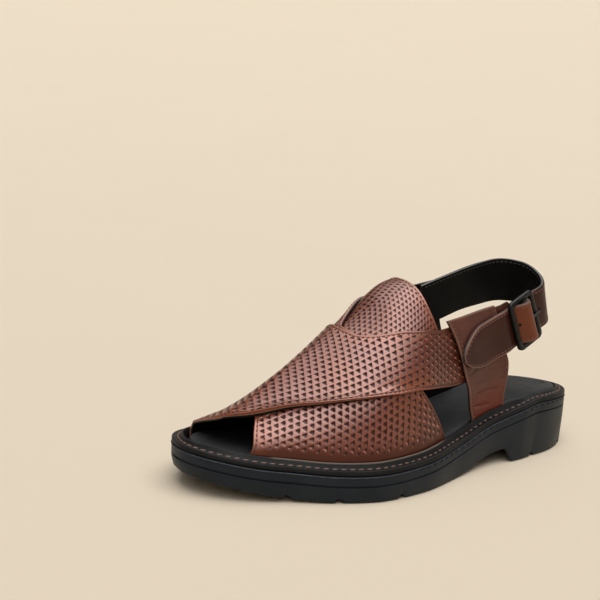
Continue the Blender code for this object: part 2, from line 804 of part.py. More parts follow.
def strap_surface(sections: tuple, outer_start: bool, over: bool) -> Callable:
    """Surface of one crossed strap, from its rear end to its toe end tucked into the slot.

    Args:
        sections: The strap's edges.
        outer_start: True where its rear end is on the outer side of the foot.
        over: True for the strap that lies on the other one.

    Returns:
        A function for sheet_mesh.
    """

    def surface(along: np.ndarray, across: np.ndarray) -> np.ndarray:
        reach = along * (1 + STRAP_TUCKED)
        x = follow(sections, "rear_x", reach) * (1 - across) + follow(sections, "front_x", reach) * across
        turn = follow(sections, "rear_turn", reach) * (1 - across)
        turn = turn + follow(sections, "front_turn", reach) * across
        lift = np.zeros_like(x)
        if over:
            lift = (WALL - JOIN) * ease(x, *OVER_CLIMB) * (1 - ease(turn, *OVER_LAND))
        turn = turn + np.clip(reach - 1, 0, None) / STRAP_TUCKED * TUCK_TURN
        return on_last(x, turn if outer_start else 1 - turn, lift)

    return surface


def build_upper() -> bpy.types.Object:
    """Both crossed straps, joined where the outer one lies on the inner one, open underneath."""
    over = sheet_mesh(strap_surface(OVER_STRAP, outer_start=True, over=True), STRAP_CELLS)
    face_outwards(over, Vector(UPPER_INSIDE))
    upper = add_object("upper", over, "embossed_leather")
    add_wall(upper, WALL, 1.0)
    under = sheet_mesh(strap_surface(UNDER_STRAP, outer_start=False, over=False), STRAP_CELLS)
    face_outwards(under, Vector(UPPER_INSIDE))
    helper = add_object("under_strap", under)
    add_wall(helper, WALL, 1.0)
    add_boolean(upper, helper, "UNION")
    return upper


def build_tongue() -> bpy.types.Object:
    """Domed flap under the crossing, that fills the throat and stands free behind it."""

    def surface(along: np.ndarray, across: np.ndarray) -> np.ndarray:
        rear = TONGUE_REAR - TONGUE_SWEEP * (2 * across - 1) ** 2
        x = rear + along * (TONGUE_FRONT - rear)
        turn = TONGUE_TURN[0] + across * (TONGUE_TURN[1] - TONGUE_TURN[0])
        middle = 1 - ease(np.abs(turn - 0.5), *TONGUE_PUFF_TURN)
        puff = TONGUE_PUFF * middle * (1 - ease(x, *TONGUE_PUFF_END))
        return on_last(x, turn, puff - TONGUE_CLEAR)

    flap = sheet_mesh(surface, TONGUE_CELLS)
    face_outwards(flap, Vector(TONGUE_INSIDE))
    tongue = add_object("tongue", flap, "tongue_leather")
    add_wall(tongue, TONGUE_WALL, -1.0)
    return tongue


def build_quarter(name: str, sections: tuple, outer: bool) -> bpy.types.Object:
    """Smooth tab over a strap's rear end, from the slot beside the insole up to the heel strap.

    Args:
        name: Name of the node.
        sections: The tab's edges.
        outer: True for the outer side of the foot.

    Returns:
        The object.
    """
    top = sections[-1].turn

    def surface(along: np.ndarray, across: np.ndarray) -> np.ndarray:
        turn = -TUCK_TURN + across * (top + TUCK_TURN)
        x = follow(sections, "rear_x", turn) * (1 - along) + follow(sections, "front_x", turn) * along
        lift = QUARTER_LIFT * ease(turn, *QUARTER_CLIMB)
        return on_last(x, turn if outer else 1 - turn, lift)

    panel = sheet_mesh(surface, QUARTER_CELLS)
    face_outwards(panel, Vector(QUARTER_INSIDE))
    quarter = add_object(name, panel, "quarter_leather")
    add_wall(quarter, QUARTER_WALL, 1.0)
    return quarter


# Heel strap and buckle


def weave(along: np.ndarray) -> np.ndarray:
    """How far the heel strap's middle stands out of the buckle's plane: under, over, under the bars."""
    under = -(FRAME_THICK / 2 + GAP + HEEL_STRAP_WALL / 2)
    over = CENTRE_BAR_RADIUS + PRONG_PLAY + 2 * PRONG_RADIUS + 2 * GAP + HEEL_STRAP_WALL / 2
    clear = FRAME_ALONG / 2 - FRAME_BAR - GAP
    return over + (under - over) * ease(np.abs(along), WEAVE_TOP, clear)


def drape(points: np.ndarray, share: np.ndarray, side: int, lift: float) -> np.ndarray:
    """Move points sideways onto the last's side at a lift, by a share of the way."""
    target = last_side_y(points[:, 0], points[:, 2], side) + side * lift
    moved = points.copy()
    moved[:, 1] = points[:, 1] * (1 - share) + target * share
    return moved


def heel_strap_point(along: np.ndarray, across: np.ndarray) -> np.ndarray:
    """Middle of the heel strap at a distance along from the buckle's bar and across from its centre."""
    centre, _, up, outward = heel_frame(along)
    settle = 1 - ease(along, *WEAVE_SETTLES)
    points = centre + across[:, None] * up + (weave(along) * settle)[:, None] * outward
    half = HEEL_STRAP_WALL / 2
    free = QUARTER_LIFT + QUARTER_WALL + 2 * GAP + half
    points = drape(points, 1 - ease(along, *FREE_DRAPED), 1, free)
    end = heel_length()
    return drape(points, ease(along, end - INNER_RUN, end - INNER_DRAPED), -1, half + GAP / 2)


def heel_length() -> float:
    """Distance along the heel strap from the buckle's bar to its inner end."""
    return BUCKLE_FROM_ARC + HEEL_ARC_RADIUS * HEEL_ARC_SWEEP + INNER_RUN


def build_heel_strap() -> bpy.types.Object:
    """Strap from under the inner quarter, round the heel, through the buckle, to its rounded free end."""
    end = heel_length()

    def surface(run: np.ndarray, side: np.ndarray) -> np.ndarray:
        places = (-FREE_END, -FREE_END + TIP_ROUND, -WOVEN, WOVEN, end)
        along = np.interp(run, HEEL_STRAP_SHARES, places)
        to_tip = np.clip(1 - (along + FREE_END) / TIP_ROUND, 0, 1)
        rounding = TIP_BLUNT + (1 - TIP_BLUNT) * np.sqrt(1 - to_tip**TIP_POWER)
        half = follow(HEEL_STRAP, "width", along) / 2 * rounding
        return heel_strap_point(along, (2 * side - 1) * half)

    band = sheet_mesh(surface, HEEL_STRAP_CELLS)
    strap = add_object("heel_strap", band, "strap_leather")
    add_wall(strap, HEEL_STRAP_WALL, 0.0)
    slot = bmesh.new()
    bmesh.ops.create_cube(slot, size=1.0)
    size = (PRONG_SLOT[1] - PRONG_SLOT[0], PRONG_SLOT_WIDTH, PRONG_SLOT_DEEP)
    bmesh.ops.scale(slot, vec=size, verts=slot.verts)
    bmesh.ops.translate(slot, vec=((PRONG_SLOT[0] + PRONG_SLOT[1]) / 2, 0, 0), verts=slot.verts)
    bmesh.ops.transform(slot, matrix=buckle_matrix(), verts=slot.verts)
    add_boolean(strap, add_object("prong_slot", slot), "DIFFERENCE")
    return strap


def tab_path() -> list:
    """Middle line of the buckle's leather tab in the buckle's frame: (along, outwards) pairs."""
    radius = CENTRE_BAR_RADIUS + TAB_PLAY + TAB_WALL / 2
    path = []
    for degrees in np.linspace(*TAB_LOOP_DEGREES, TAB_LOOP_POINTS):
        angle = math.radians(degrees)
        path.append((radius * math.cos(angle), radius * math.sin(angle)))
    return path + [(point.along, point.out) for point in TAB_LEAD]


def build_buckle_tab() -> bpy.types.Object:
    """Leather tab sewn under the outer quarter and looped round the buckle's centre bar."""
    loop = tab_path()
    count = len(loop) + len(TAB_RUN) - 1

    def surface(run: np.ndarray, side: np.ndarray) -> np.ndarray:
        centre, forward, _, outward = heel_frame(np.zeros(1))
        upward = np.cross(outward, forward)
        index = np.rint(run * count).astype(int)
        flat = np.array(loop + [(point.along, point.out) for point in TAB_RUN])[index]
        across = (side - 0.5) * TAB_WIDTH
        points = centre + flat[:, :1] * forward + flat[:, 1:] * outward + across[:, None] * upward
        share = np.where(index >= len(loop), ease(-flat[:, 0], *TAB_SEWN), 0.0)
        return drape(points, share, 1, TAB_WALL / 2 + GAP / 2)

    tab = add_object("buckle_tab", sheet_mesh(surface, (count, TAB_CELLS_ACROSS)), "tab_leather")
    add_wall(tab, TAB_WALL, 0.0)
    notch = bmesh.new()
    bmesh.ops.create_cube(notch, size=1.0)
    size = (TAB_NOTCH[0], 2 * PRONG_RADIUS + TAB_NOTCH[1], TAB_NOTCH[2])
    bmesh.ops.scale(notch, vec=size, verts=notch.verts)
    bmesh.ops.translate(notch, vec=TAB_NOTCH_AT, verts=notch.verts)
    bmesh.ops.transform(notch, matrix=buckle_matrix(), verts=notch.verts)
    add_boolean(tab, add_object("prong_notch", notch), "DIFFERENCE")
    return tab


def build_buckle_frame() -> bpy.types.Object:
    """Black metal frame with rounded corners, and the centre bar across it."""
    bm = bmesh.new()
    inner = FRAME_BAR / 2
    thick = FRAME_THICK / 2
    edge = FRAME_EDGE
    profile = (
        (inner, thick - edge),
        (inner - edge, thick),
        (edge - inner, thick),
        (-inner, thick - edge),
        (-inner, edge - thick),
        (edge - inner, -thick),
        (inner - edge, -thick),
        (inner, edge - thick),
    )
    rings = []
    middle = FRAME_CORNER - inner
    for corner in range(4):
        centre_x = (FRAME_ALONG / 2 - FRAME_CORNER) * (1 if corner in (0, 3) else -1)
        centre_y = (FRAME_ACROSS / 2 - FRAME_CORNER) * (1 if corner in (0, 1) else -1)
        for step in range(FRAME_CORNER_STEPS + 1):
            angle = math.pi / 2 * (corner + step / FRAME_CORNER_STEPS)
            out = Vector((math.cos(angle), math.sin(angle), 0))
            ring = [
                bm.verts.new(Vector((centre_x, centre_y, 0)) + out * (middle + side) + Vector((0, 0, up)))
                for side, up in profile
            ]
            rings.append(ring)
    for ring, following in zip(rings, rings[1:] + rings[:1]):
        for i in range(len(profile)):
            j = (i + 1) % len(profile)
            bm.faces.new((ring[i], ring[j], following[j], following[i]))
    bmesh.ops.recalc_face_normals(bm, faces=bm.faces)
    bmesh.ops.transform(bm, matrix=buckle_matrix(), verts=bm.verts)
    frame = add_object("buckle_frame", bm, "buckle_metal")
    bar = bmesh.new()
    bmesh.ops.create_cone(
        bar,
        cap_ends=True,
        segments=CENTRE_BAR_SEGMENTS,
        radius1=CENTRE_BAR_RADIUS,
        radius2=CENTRE_BAR_RADIUS,
        depth=FRAME_ACROSS - CENTRE_BAR_SHORT,
        matrix=Matrix.Rotation(math.pi / 2, 4, "X"),
    )
    bmesh.ops.transform(bar, matrix=buckle_matrix(), verts=bar.verts)
    add_boolean(frame, add_object("centre_bar", bar), "UNION")
    return frame


def build_buckle_prong() -> bpy.types.Object:
    """Prong hooked round the centre bar, that goes through the strap and rests on the rear bar."""
    radius = CENTRE_BAR_RADIUS + PRONG_PLAY + PRONG_RADIUS
    rest = FRAME_THICK / 2 + GAP + PRONG_RADIUS
    tip = FRAME_ALONG / 2 + PRONG_OVERHANG
    points = []
    for degrees in np.linspace(*PRONG_HOOK_DEGREES, PRONG_HOOK_POINTS):
        angle = math.radians(180 - degrees)
        points.append((radius * math.cos(angle), 0.0, radius * math.sin(angle)))
    points += [(share * tip, 0.0, rest) for share in PRONG_SHANK_SHARES]
    curve = bpy.data.curves.new("buckle_prong", "CURVE")
    curve.dimensions = "3D"
    curve.bevel_depth = PRONG_RADIUS
    curve.bevel_resolution = 2
    curve.use_fill_caps = True
    spline = curve.splines.new("POLY")
    spline.points.add(len(points) - 1)
    for target, point in zip(spline.points, points):
        target.co = (*point, 1.0)
    curve.materials.append(material("buckle_metal"))
    prong = bpy.data.objects.new("buckle_prong", curve)
    bpy.context.scene.collection.objects.link(prong)
    prong.matrix_world = Matrix.Translation(ORIGIN) @ buckle_matrix()
    return prong


def main() -> None:
    """Clear the scene and build every piece."""
    for old in list(bpy.data.objects):
        bpy.data.objects.remove(old, do_unlink=True)
    build_outsole()
    build_welt()
    build_insole()
    build_upper()
    build_tongue()
    build_quarter("quarter_lateral", OUTER_QUARTER, outer=True)
    build_quarter("quarter_medial", INNER_QUARTER, outer=False)
    build_heel_strap()
    build_buckle_tab()
    build_buckle_frame()
    build_buckle_prong()


main()
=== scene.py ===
"""Looks of a left leather sandal: crossed embossed straps, tongue, quarters, buckled heel strap, welted sole.

Shapes are worked out in the shoe's own frame, in metres: x runs from the heel (0) to the toe, y is
positive on the outer side of the foot, and z is the height over the floor. Finished pieces are moved by
ORIGIN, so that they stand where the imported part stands.
"""
import logging
import math
from dataclasses import dataclass
from enum import Enum
from functools import cached_property
from typing import Callable, NamedTuple

import bmesh
import bpy
import numpy as np
from mathutils import Matrix, Vector


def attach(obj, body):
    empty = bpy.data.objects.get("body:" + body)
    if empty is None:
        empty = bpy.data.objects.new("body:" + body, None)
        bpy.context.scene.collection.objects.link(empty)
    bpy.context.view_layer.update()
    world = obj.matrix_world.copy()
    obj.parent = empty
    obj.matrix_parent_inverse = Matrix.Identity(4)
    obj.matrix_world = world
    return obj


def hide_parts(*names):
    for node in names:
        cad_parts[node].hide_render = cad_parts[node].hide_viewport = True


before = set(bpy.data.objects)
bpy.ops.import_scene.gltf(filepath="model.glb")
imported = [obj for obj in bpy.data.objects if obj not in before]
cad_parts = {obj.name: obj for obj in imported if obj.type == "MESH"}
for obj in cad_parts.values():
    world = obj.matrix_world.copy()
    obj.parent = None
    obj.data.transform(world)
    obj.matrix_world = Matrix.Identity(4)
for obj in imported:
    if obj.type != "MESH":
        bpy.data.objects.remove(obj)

LOG = logging.getLogger("sandal")
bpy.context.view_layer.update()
ORIGIN = np.array((-0.144, -0.00037702, 0.0))
WHOLE = (0.0, 1.0)
PLAIN = (1.0, 1.0, 1.0)
PROBE = 0.001
DENT_SPREAD = 0.0005
ASKEW = (0.31, 0.22, 0.92)
CREASE_BEND = 0.06
CREASE_WAVE = 9.0
CREASE_PHASE = 40.0
CREASE_FADE = 0.2

Array = np.ndarray
Colour = tuple[float, float, float]


class SoleSection(NamedTuple):
    """One cross-section of the sole; half widths are those before the two ends close."""

    station: float
    lateral: float
    medial: float


class EdgeHeight(NamedTuple):
    """Height of the welt's top edge over the floor."""

    station: float
    height: float


class LastSection(NamedTuple):
    """One cross-section of the last: its ridge, the powers of its side and top, the inner side's share."""

    station: float
    ridge_y: float
    ridge_z: float
    side_power: float
    top_power: float
    inner_share: float


class StrapSection(NamedTuple):
    """Both edges of a crossed strap; a turn is 0 at the feather line where it starts, 1 opposite."""

    along: float
    front_x: float
    front_turn: float
    rear_x: float
    rear_turn: float


class QuarterSection(NamedTuple):
    """Rear and front edge of a quarter at one turn up from its own feather line."""

    turn: float
    rear_x: float
    front_x: float


class HeelStrapSection(NamedTuple):
    """Height, inward lean and width of the heel strap, along from the buckle's bar round the heel."""

    along: float
    height: float
    lean: float
    width: float


class ProfilePoint(NamedTuple):
    """One point of the welt's section: inset from the outline, height over its edge, share of the lip."""

    inset: float
    height: float
    lip: float


class Crease(NamedTuple):
    """A crease between two places of a sheet, each a share along and a share across."""

    start: tuple[float, float]
    stop: tuple[float, float]
    depth: float
    width: float


SOLE = (
    SoleSection(0.00, 0.0315, 0.0348),
    SoleSection(0.16, 0.0315, 0.0348),
    SoleSection(0.22, 0.0345, 0.0341),
    SoleSection(0.30, 0.0358, 0.0321),
    SoleSection(0.42, 0.0436, 0.0310),
    SoleSection(0.55, 0.0555, 0.0380),
    SoleSection(0.66, 0.0590, 0.0470),
    SoleSection(0.76, 0.0518, 0.0515),
    SoleSection(0.86, 0.0445, 0.0566),
    SoleSection(1.00, 0.0445, 0.0566),
)

EDGE = (
    EdgeHeight(0.00, 0.0362),
    EdgeHeight(0.15, 0.0390),
    EdgeHeight(0.30, 0.0327),
    EdgeHeight(0.45, 0.0238),
    EdgeHeight(0.60, 0.0204),
    EdgeHeight(0.72, 0.0197),
    EdgeHeight(0.86, 0.0225),
    EdgeHeight(1.00, 0.0288),
)

LAST = (
    LastSection(0.28, 0.000, 0.1240, 0.55, 0.95, 1.00),
    LastSection(0.40, -0.001, 0.1205, 0.60, 0.95, 1.00),
    LastSection(0.50, -0.003, 0.1165, 0.75, 0.95, 1.00),
    LastSection(0.56, -0.004, 0.1095, 0.85, 0.95, 1.00),
    LastSection(0.62, -0.004, 0.0945, 0.95, 0.95, 1.12),
    LastSection(0.70, -0.004, 0.0775, 1.05, 1.05, 1.30),
    LastSection(0.78, -0.005, 0.0620, 1.20, 1.20, 1.39),
    LastSection(0.86, -0.007, 0.0460, 1.20, 1.20, 1.50),
    LastSection(0.92, -0.010, 0.0370, 1.10, 1.10, 1.60),
    LastSection(1.00, -0.015, 0.0330, 1.00, 1.00, 1.50),
)

OVER_STRAP = (
    StrapSection(0.00, 0.1080, 0.092, 0.1140, 0.242),
    StrapSection(0.08, 0.1200, 0.094, 0.1300, 0.243),
    StrapSection(0.25, 0.1640, 0.134, 0.1520, 0.264),
    StrapSection(0.40, 0.2040, 0.212, 0.1720, 0.322),
    StrapSection(0.55, 0.2300, 0.277, 0.1850, 0.410),
    StrapSection(0.70, 0.2490, 0.347, 0.1865, 0.492),
    StrapSection(0.80, 0.2575, 0.450, 0.1820, 0.640),
    StrapSection(0.90, 0.2640, 0.645, 0.1680, 0.830),
    StrapSection(1.00, 0.2665, 1.000, 0.1400, 1.000),
)

UNDER_STRAP = (
    StrapSection(0.00, 0.1080, 0.092, 0.1140, 0.242),
    StrapSection(0.08, 0.1200, 0.094, 0.1300, 0.262),
    StrapSection(0.25, 0.1600, 0.134, 0.1520, 0.345),
    StrapSection(0.40, 0.1980, 0.212, 0.1680, 0.410),
    StrapSection(0.55, 0.2240, 0.330, 0.1790, 0.460),
    StrapSection(0.70, 0.2400, 0.500, 0.1845, 0.530),
    StrapSection(0.80, 0.2480, 0.650, 0.1820, 0.660),
    StrapSection(0.90, 0.2540, 0.800, 0.1630, 0.840),
    StrapSection(1.00, 0.2580, 1.000, 0.1340, 1.000),
)

OUTER_QUARTER = (
    QuarterSection(0.000, 0.0755, 0.1050),
    QuarterSection(0.095, 0.0760, 0.1165),
    QuarterSection(0.125, 0.0785, 0.1195),
    QuarterSection(0.175, 0.0830, 0.1235),
    QuarterSection(0.240, 0.0870, 0.1300),
    QuarterSection(0.264, 0.0885, 0.1325),
)

INNER_QUARTER = (
    QuarterSection(0.000, 0.0755, 0.1050),
    QuarterSection(0.095, 0.0820, 0.1165),
    QuarterSection(0.175, 0.0895, 0.1235),
    QuarterSection(0.240, 0.0940, 0.1300),
    QuarterSection(0.300, 0.0965, 0.1340),
    QuarterSection(0.330, 0.0980, 0.1350),
)

HEEL_STRAP = (
    HeelStrapSection(-0.058, 0.0740, 7.0, 0.0260),
    HeelStrapSection(-0.014, 0.0866, 7.0, 0.0260),
    HeelStrapSection(0.014, 0.0960, 8.0, 0.0260),
    HeelStrapSection(0.046, 0.1046, 14.0, 0.0285),
    HeelStrapSection(0.060, 0.1080, 14.0, 0.0295),
    HeelStrapSection(0.070, 0.1085, 12.0, 0.0298),
    HeelStrapSection(0.086, 0.1066, 9.0, 0.0300),
    HeelStrapSection(0.104, 0.1038, 8.0, 0.0300),
    HeelStrapSection(0.122, 0.0990, 8.0, 0.0300),
    HeelStrapSection(0.138, 0.0942, 8.0, 0.0300),
)

WELT_PROFILE = (
    ProfilePoint(0.0006, -0.0032, 0.0),
    ProfilePoint(0.0001, -0.0028, 0.0),
    ProfilePoint(0.0000, -0.0022, 0.0),
    ProfilePoint(0.0000, -0.0010, 0.0),
    ProfilePoint(0.0003, -0.0003, 0.0),
    ProfilePoint(0.0009, 0.0000, 0.0),
    ProfilePoint(0.0020, 0.0001, 0.0),
    ProfilePoint(0.0026, -0.0003, 0.0),
    ProfilePoint(0.0034, -0.0006, 0.0),
    ProfilePoint(0.0044, -0.0004, 0.0),
    ProfilePoint(0.0050, 0.0002, 0.1),
    ProfilePoint(0.0055, 0.0006, 0.8),
    ProfilePoint(0.0060, 0.0011, 1.0),
    ProfilePoint(0.0066, 0.0011, 1.0),
    ProfilePoint(0.0069, 0.0007, 1.0),
    ProfilePoint(0.0069, -0.0032, 0.0),
)


def follow(table: tuple, name: str, at: Array) -> Array:
    """Read a table's named column at any place, by a monotone cubic through its rows.

    Args:
        table: Rows whose first field is the place along the table.
        name: The column to read.
        at: Places, held to the table's range.

    Returns:
        The column's value at each place.
    """
    places = np.array([row[0] for row in table])
    values = np.array([getattr(row, name) for row in table])
    steps = np.diff(places)
    slopes = np.diff(values) / steps
    tangents = np.zeros(len(places))
    tangents[0] = slopes[0]
    tangents[-1] = slopes[-1]
    for i in range(1, len(places) - 1):
        if slopes[i - 1] * slopes[i] > 0:
            near = 2 * steps[i] + steps[i - 1]
            far = steps[i] + 2 * steps[i - 1]
            tangents[i] = (near + far) / (near / slopes[i - 1] + far / slopes[i])
    at = np.clip(np.asarray(at, dtype=float), places[0], places[-1])
    cell = np.clip(np.searchsorted(places, at) - 1, 0, len(steps) - 1)
    t = (at - places[cell]) / steps[cell]
    start = (1 + 2 * t) * (1 - t) ** 2 * values[cell] + t * (1 - t) ** 2 * steps[cell] * tangents[cell]
    end = t * t * (3 - 2 * t) * values[cell + 1] + t * t * (t - 1) * steps[cell] * tangents[cell + 1]
    return start + end


def ease(value: Array, start: float, stop: float) -> Array:
    """Rise smoothly from 0 at start to 1 at stop."""
    t = np.clip((np.asarray(value, dtype=float) - start) / (stop - start), 0.0, 1.0)
    return t * t * (3 - 2 * t)


def unit(vectors: Array) -> Array:
    """Scale vectors to length 1 along their last axis."""
    return vectors / np.maximum(np.linalg.norm(vectors, axis=-1, keepdims=True), 1e-12)


def rounded_edge(away: Array, radius: float) -> Array:
    """How far a sheet's face drops at a distance from its edge, for an edge rounded to a radius."""
    inside = np.clip(1 - away / radius, 0, 1)
    return radius * (1 - np.sqrt(np.clip(1 - inside**2, 0, 1)))


def even_grid(cells: tuple[int, int]) -> tuple[Array, Array]:
    """Even shares from 0 to 1 in the two directions of a grid of cells."""
    return np.meshgrid(np.linspace(0, 1, cells[0] + 1), np.linspace(0, 1, cells[1] + 1), indexing="ij")


def lengths(points: Array, axis: int) -> Array:
    """Length along a line or grid of points up to each point.

    Args:
        points: Points, with the coordinates on the last axis.
        axis: The direction to follow.

    Returns:
        The length at each point, 0 at the first.
    """
    steps = np.linalg.norm(np.diff(points, axis=axis), axis=-1)
    start = np.zeros_like(np.take(steps, [0], axis=axis))
    return np.concatenate([start, np.cumsum(steps, axis=axis)], axis=axis)


def seam_dent(away: Array, seam: float, depth: float) -> Array:
    """Dent that a seam pulls into leather, at distances from the sheet's edge."""
    return depth * np.exp(-(((away - seam) / DENT_SPREAD) ** 2))


def seam_shares(run: Array, shares: Array, edge: float) -> Array:
    """Find where a seam crosses each line of a sheet.

    Args:
        run: Length across the sheet, one of its lines per row.
        shares: Share across at the same points.
        edge: Distance of the seam from the first edge, or from the last edge where negative.

    Returns:
        The seam's share across on each line.
    """
    found = []
    for line, share in zip(run, shares):
        found.append(np.interp(edge if edge > 0 else line[-1] + edge, line, share))
    return np.array(found)


def raised(plan: Array, height: Array) -> Array:
    """Give the points of a loop in plan their heights."""
    return np.concatenate([plan, np.broadcast_to(height, len(plan))[:, None]], axis=1)


def drawn_in(loop: Array, share: float) -> Array:
    """Draw a loop's points in plan towards its centre line, by a share of the way."""
    partner = (-np.arange(len(loop))) % len(loop)
    return loop * (1 - share) + (loop + loop[partner]) / 2 * share


@dataclass(frozen=True)
class SoleForm:
    """Outline, edge line and tread of the sole, that every other piece stands on."""

    length: float = 0.288
    toe_swing: float = 0.0126
    swing_from: float = 0.55
    swing_power: float = 1.6
    heel_round: float = 0.19
    heel_round_power: float = 1.85
    toe_round: float = 0.72
    toe_round_power: float = 2.0
    heel_breast: float = 0.0695
    breast_run: float = 0.0085
    breast_hollow: float = 0.0130
    arch_front: float = 0.131
    arch_rise: float = 0.0094
    spring_from: float = 0.207
    toe_spring: float = 0.0117
    strap_zone: tuple[float, float] = (0.066, 0.276)
    zone_ramp: float = 0.010

    def outline_y(self, station: Array, side: int) -> Array:
        """Find the outline on one side of the sole.

        Args:
            station: Share of the length from the heel.
            side: +1 for the outer side, -1 for the inner side.

        Returns:
            The outline's y.
        """
        heel = np.clip(1 - station / self.heel_round, 0, 1)
        toe = np.clip((station - self.toe_round) / (1 - self.toe_round), 0, 1)
        rear = (1 - heel**self.heel_round_power) ** (1 / self.heel_round_power)
        front = (1 - toe**self.toe_round_power) ** (1 / self.toe_round_power)
        swing = np.clip((station - self.swing_from) / (1 - self.swing_from), 0, 1) ** self.swing_power
        half = follow(SOLE, "lateral" if side > 0 else "medial", station) * rear * front
        return side * half - self.toe_swing * swing

    def edge_z(self, x: Array) -> Array:
        """Height of the welt's top edge at x."""
        return follow(EDGE, "height", np.asarray(x) / self.length)

    def bottom_z(self, x: Array, across: Array) -> Array:
        """Find the height of the tread, without its grooves.

        Args:
            x: Distance from the heel.
            across: Share of the way across.

        Returns:
            The height over the floor.
        """
        set_back = self.breast_hollow * 4 * across * (1 - across)
        breast = ease(x + set_back, self.heel_breast, self.heel_breast + self.breast_run)
        run_out = 1 - ease(x, self.heel_breast + self.breast_run, self.arch_front)
        spring = np.clip((x - self.spring_from) / (self.length - self.spring_from), 0, 1) ** 2
        return self.arch_rise * np.minimum(breast, run_out) + self.toe_spring * spring

    def loop(self, stations: Array, inset: Array) -> Array:
        """Closed outline in plan, moved inwards along its own normals.

        Args:
            stations: Stations from heel (0) to toe (1).
            inset: Distance inwards, one value or one for each point of the loop.

        Returns:
            Points (n, 2): the outer side from heel to toe, then the inner side back to the heel.
        """
        back = stations[-2:0:-1]
        x = np.concatenate([stations, back]) * self.length
        y = np.concatenate([self.outline_y(stations, 1), self.outline_y(back, -1)])
        y[0] = 0.0
        points = np.stack([x, y], axis=1)
        edges = unit(np.roll(points, -1, axis=0) - points)
        outward = np.stack([-edges[:, 1], edges[:, 0]], axis=1)
        outward = unit(outward + np.roll(outward, 1, axis=0))
        return points - outward * np.broadcast_to(inset, len(points))[:, None]

    def stations(self, count: int) -> Array:
        """Stations along the sole, closer together at the two ends."""
        return 0.5 * (1 - np.cos(np.linspace(0, math.pi, count + 1)))

    def zone(self, x: Array) -> Array:
        """1 where straps enter the sole's edge, falling to 0 behind the heel and before the toe."""
        rear, front = self.strap_zone
        return ease(x, rear - self.zone_ramp, rear) * (1 - ease(x, front, front + self.zone_ramp))


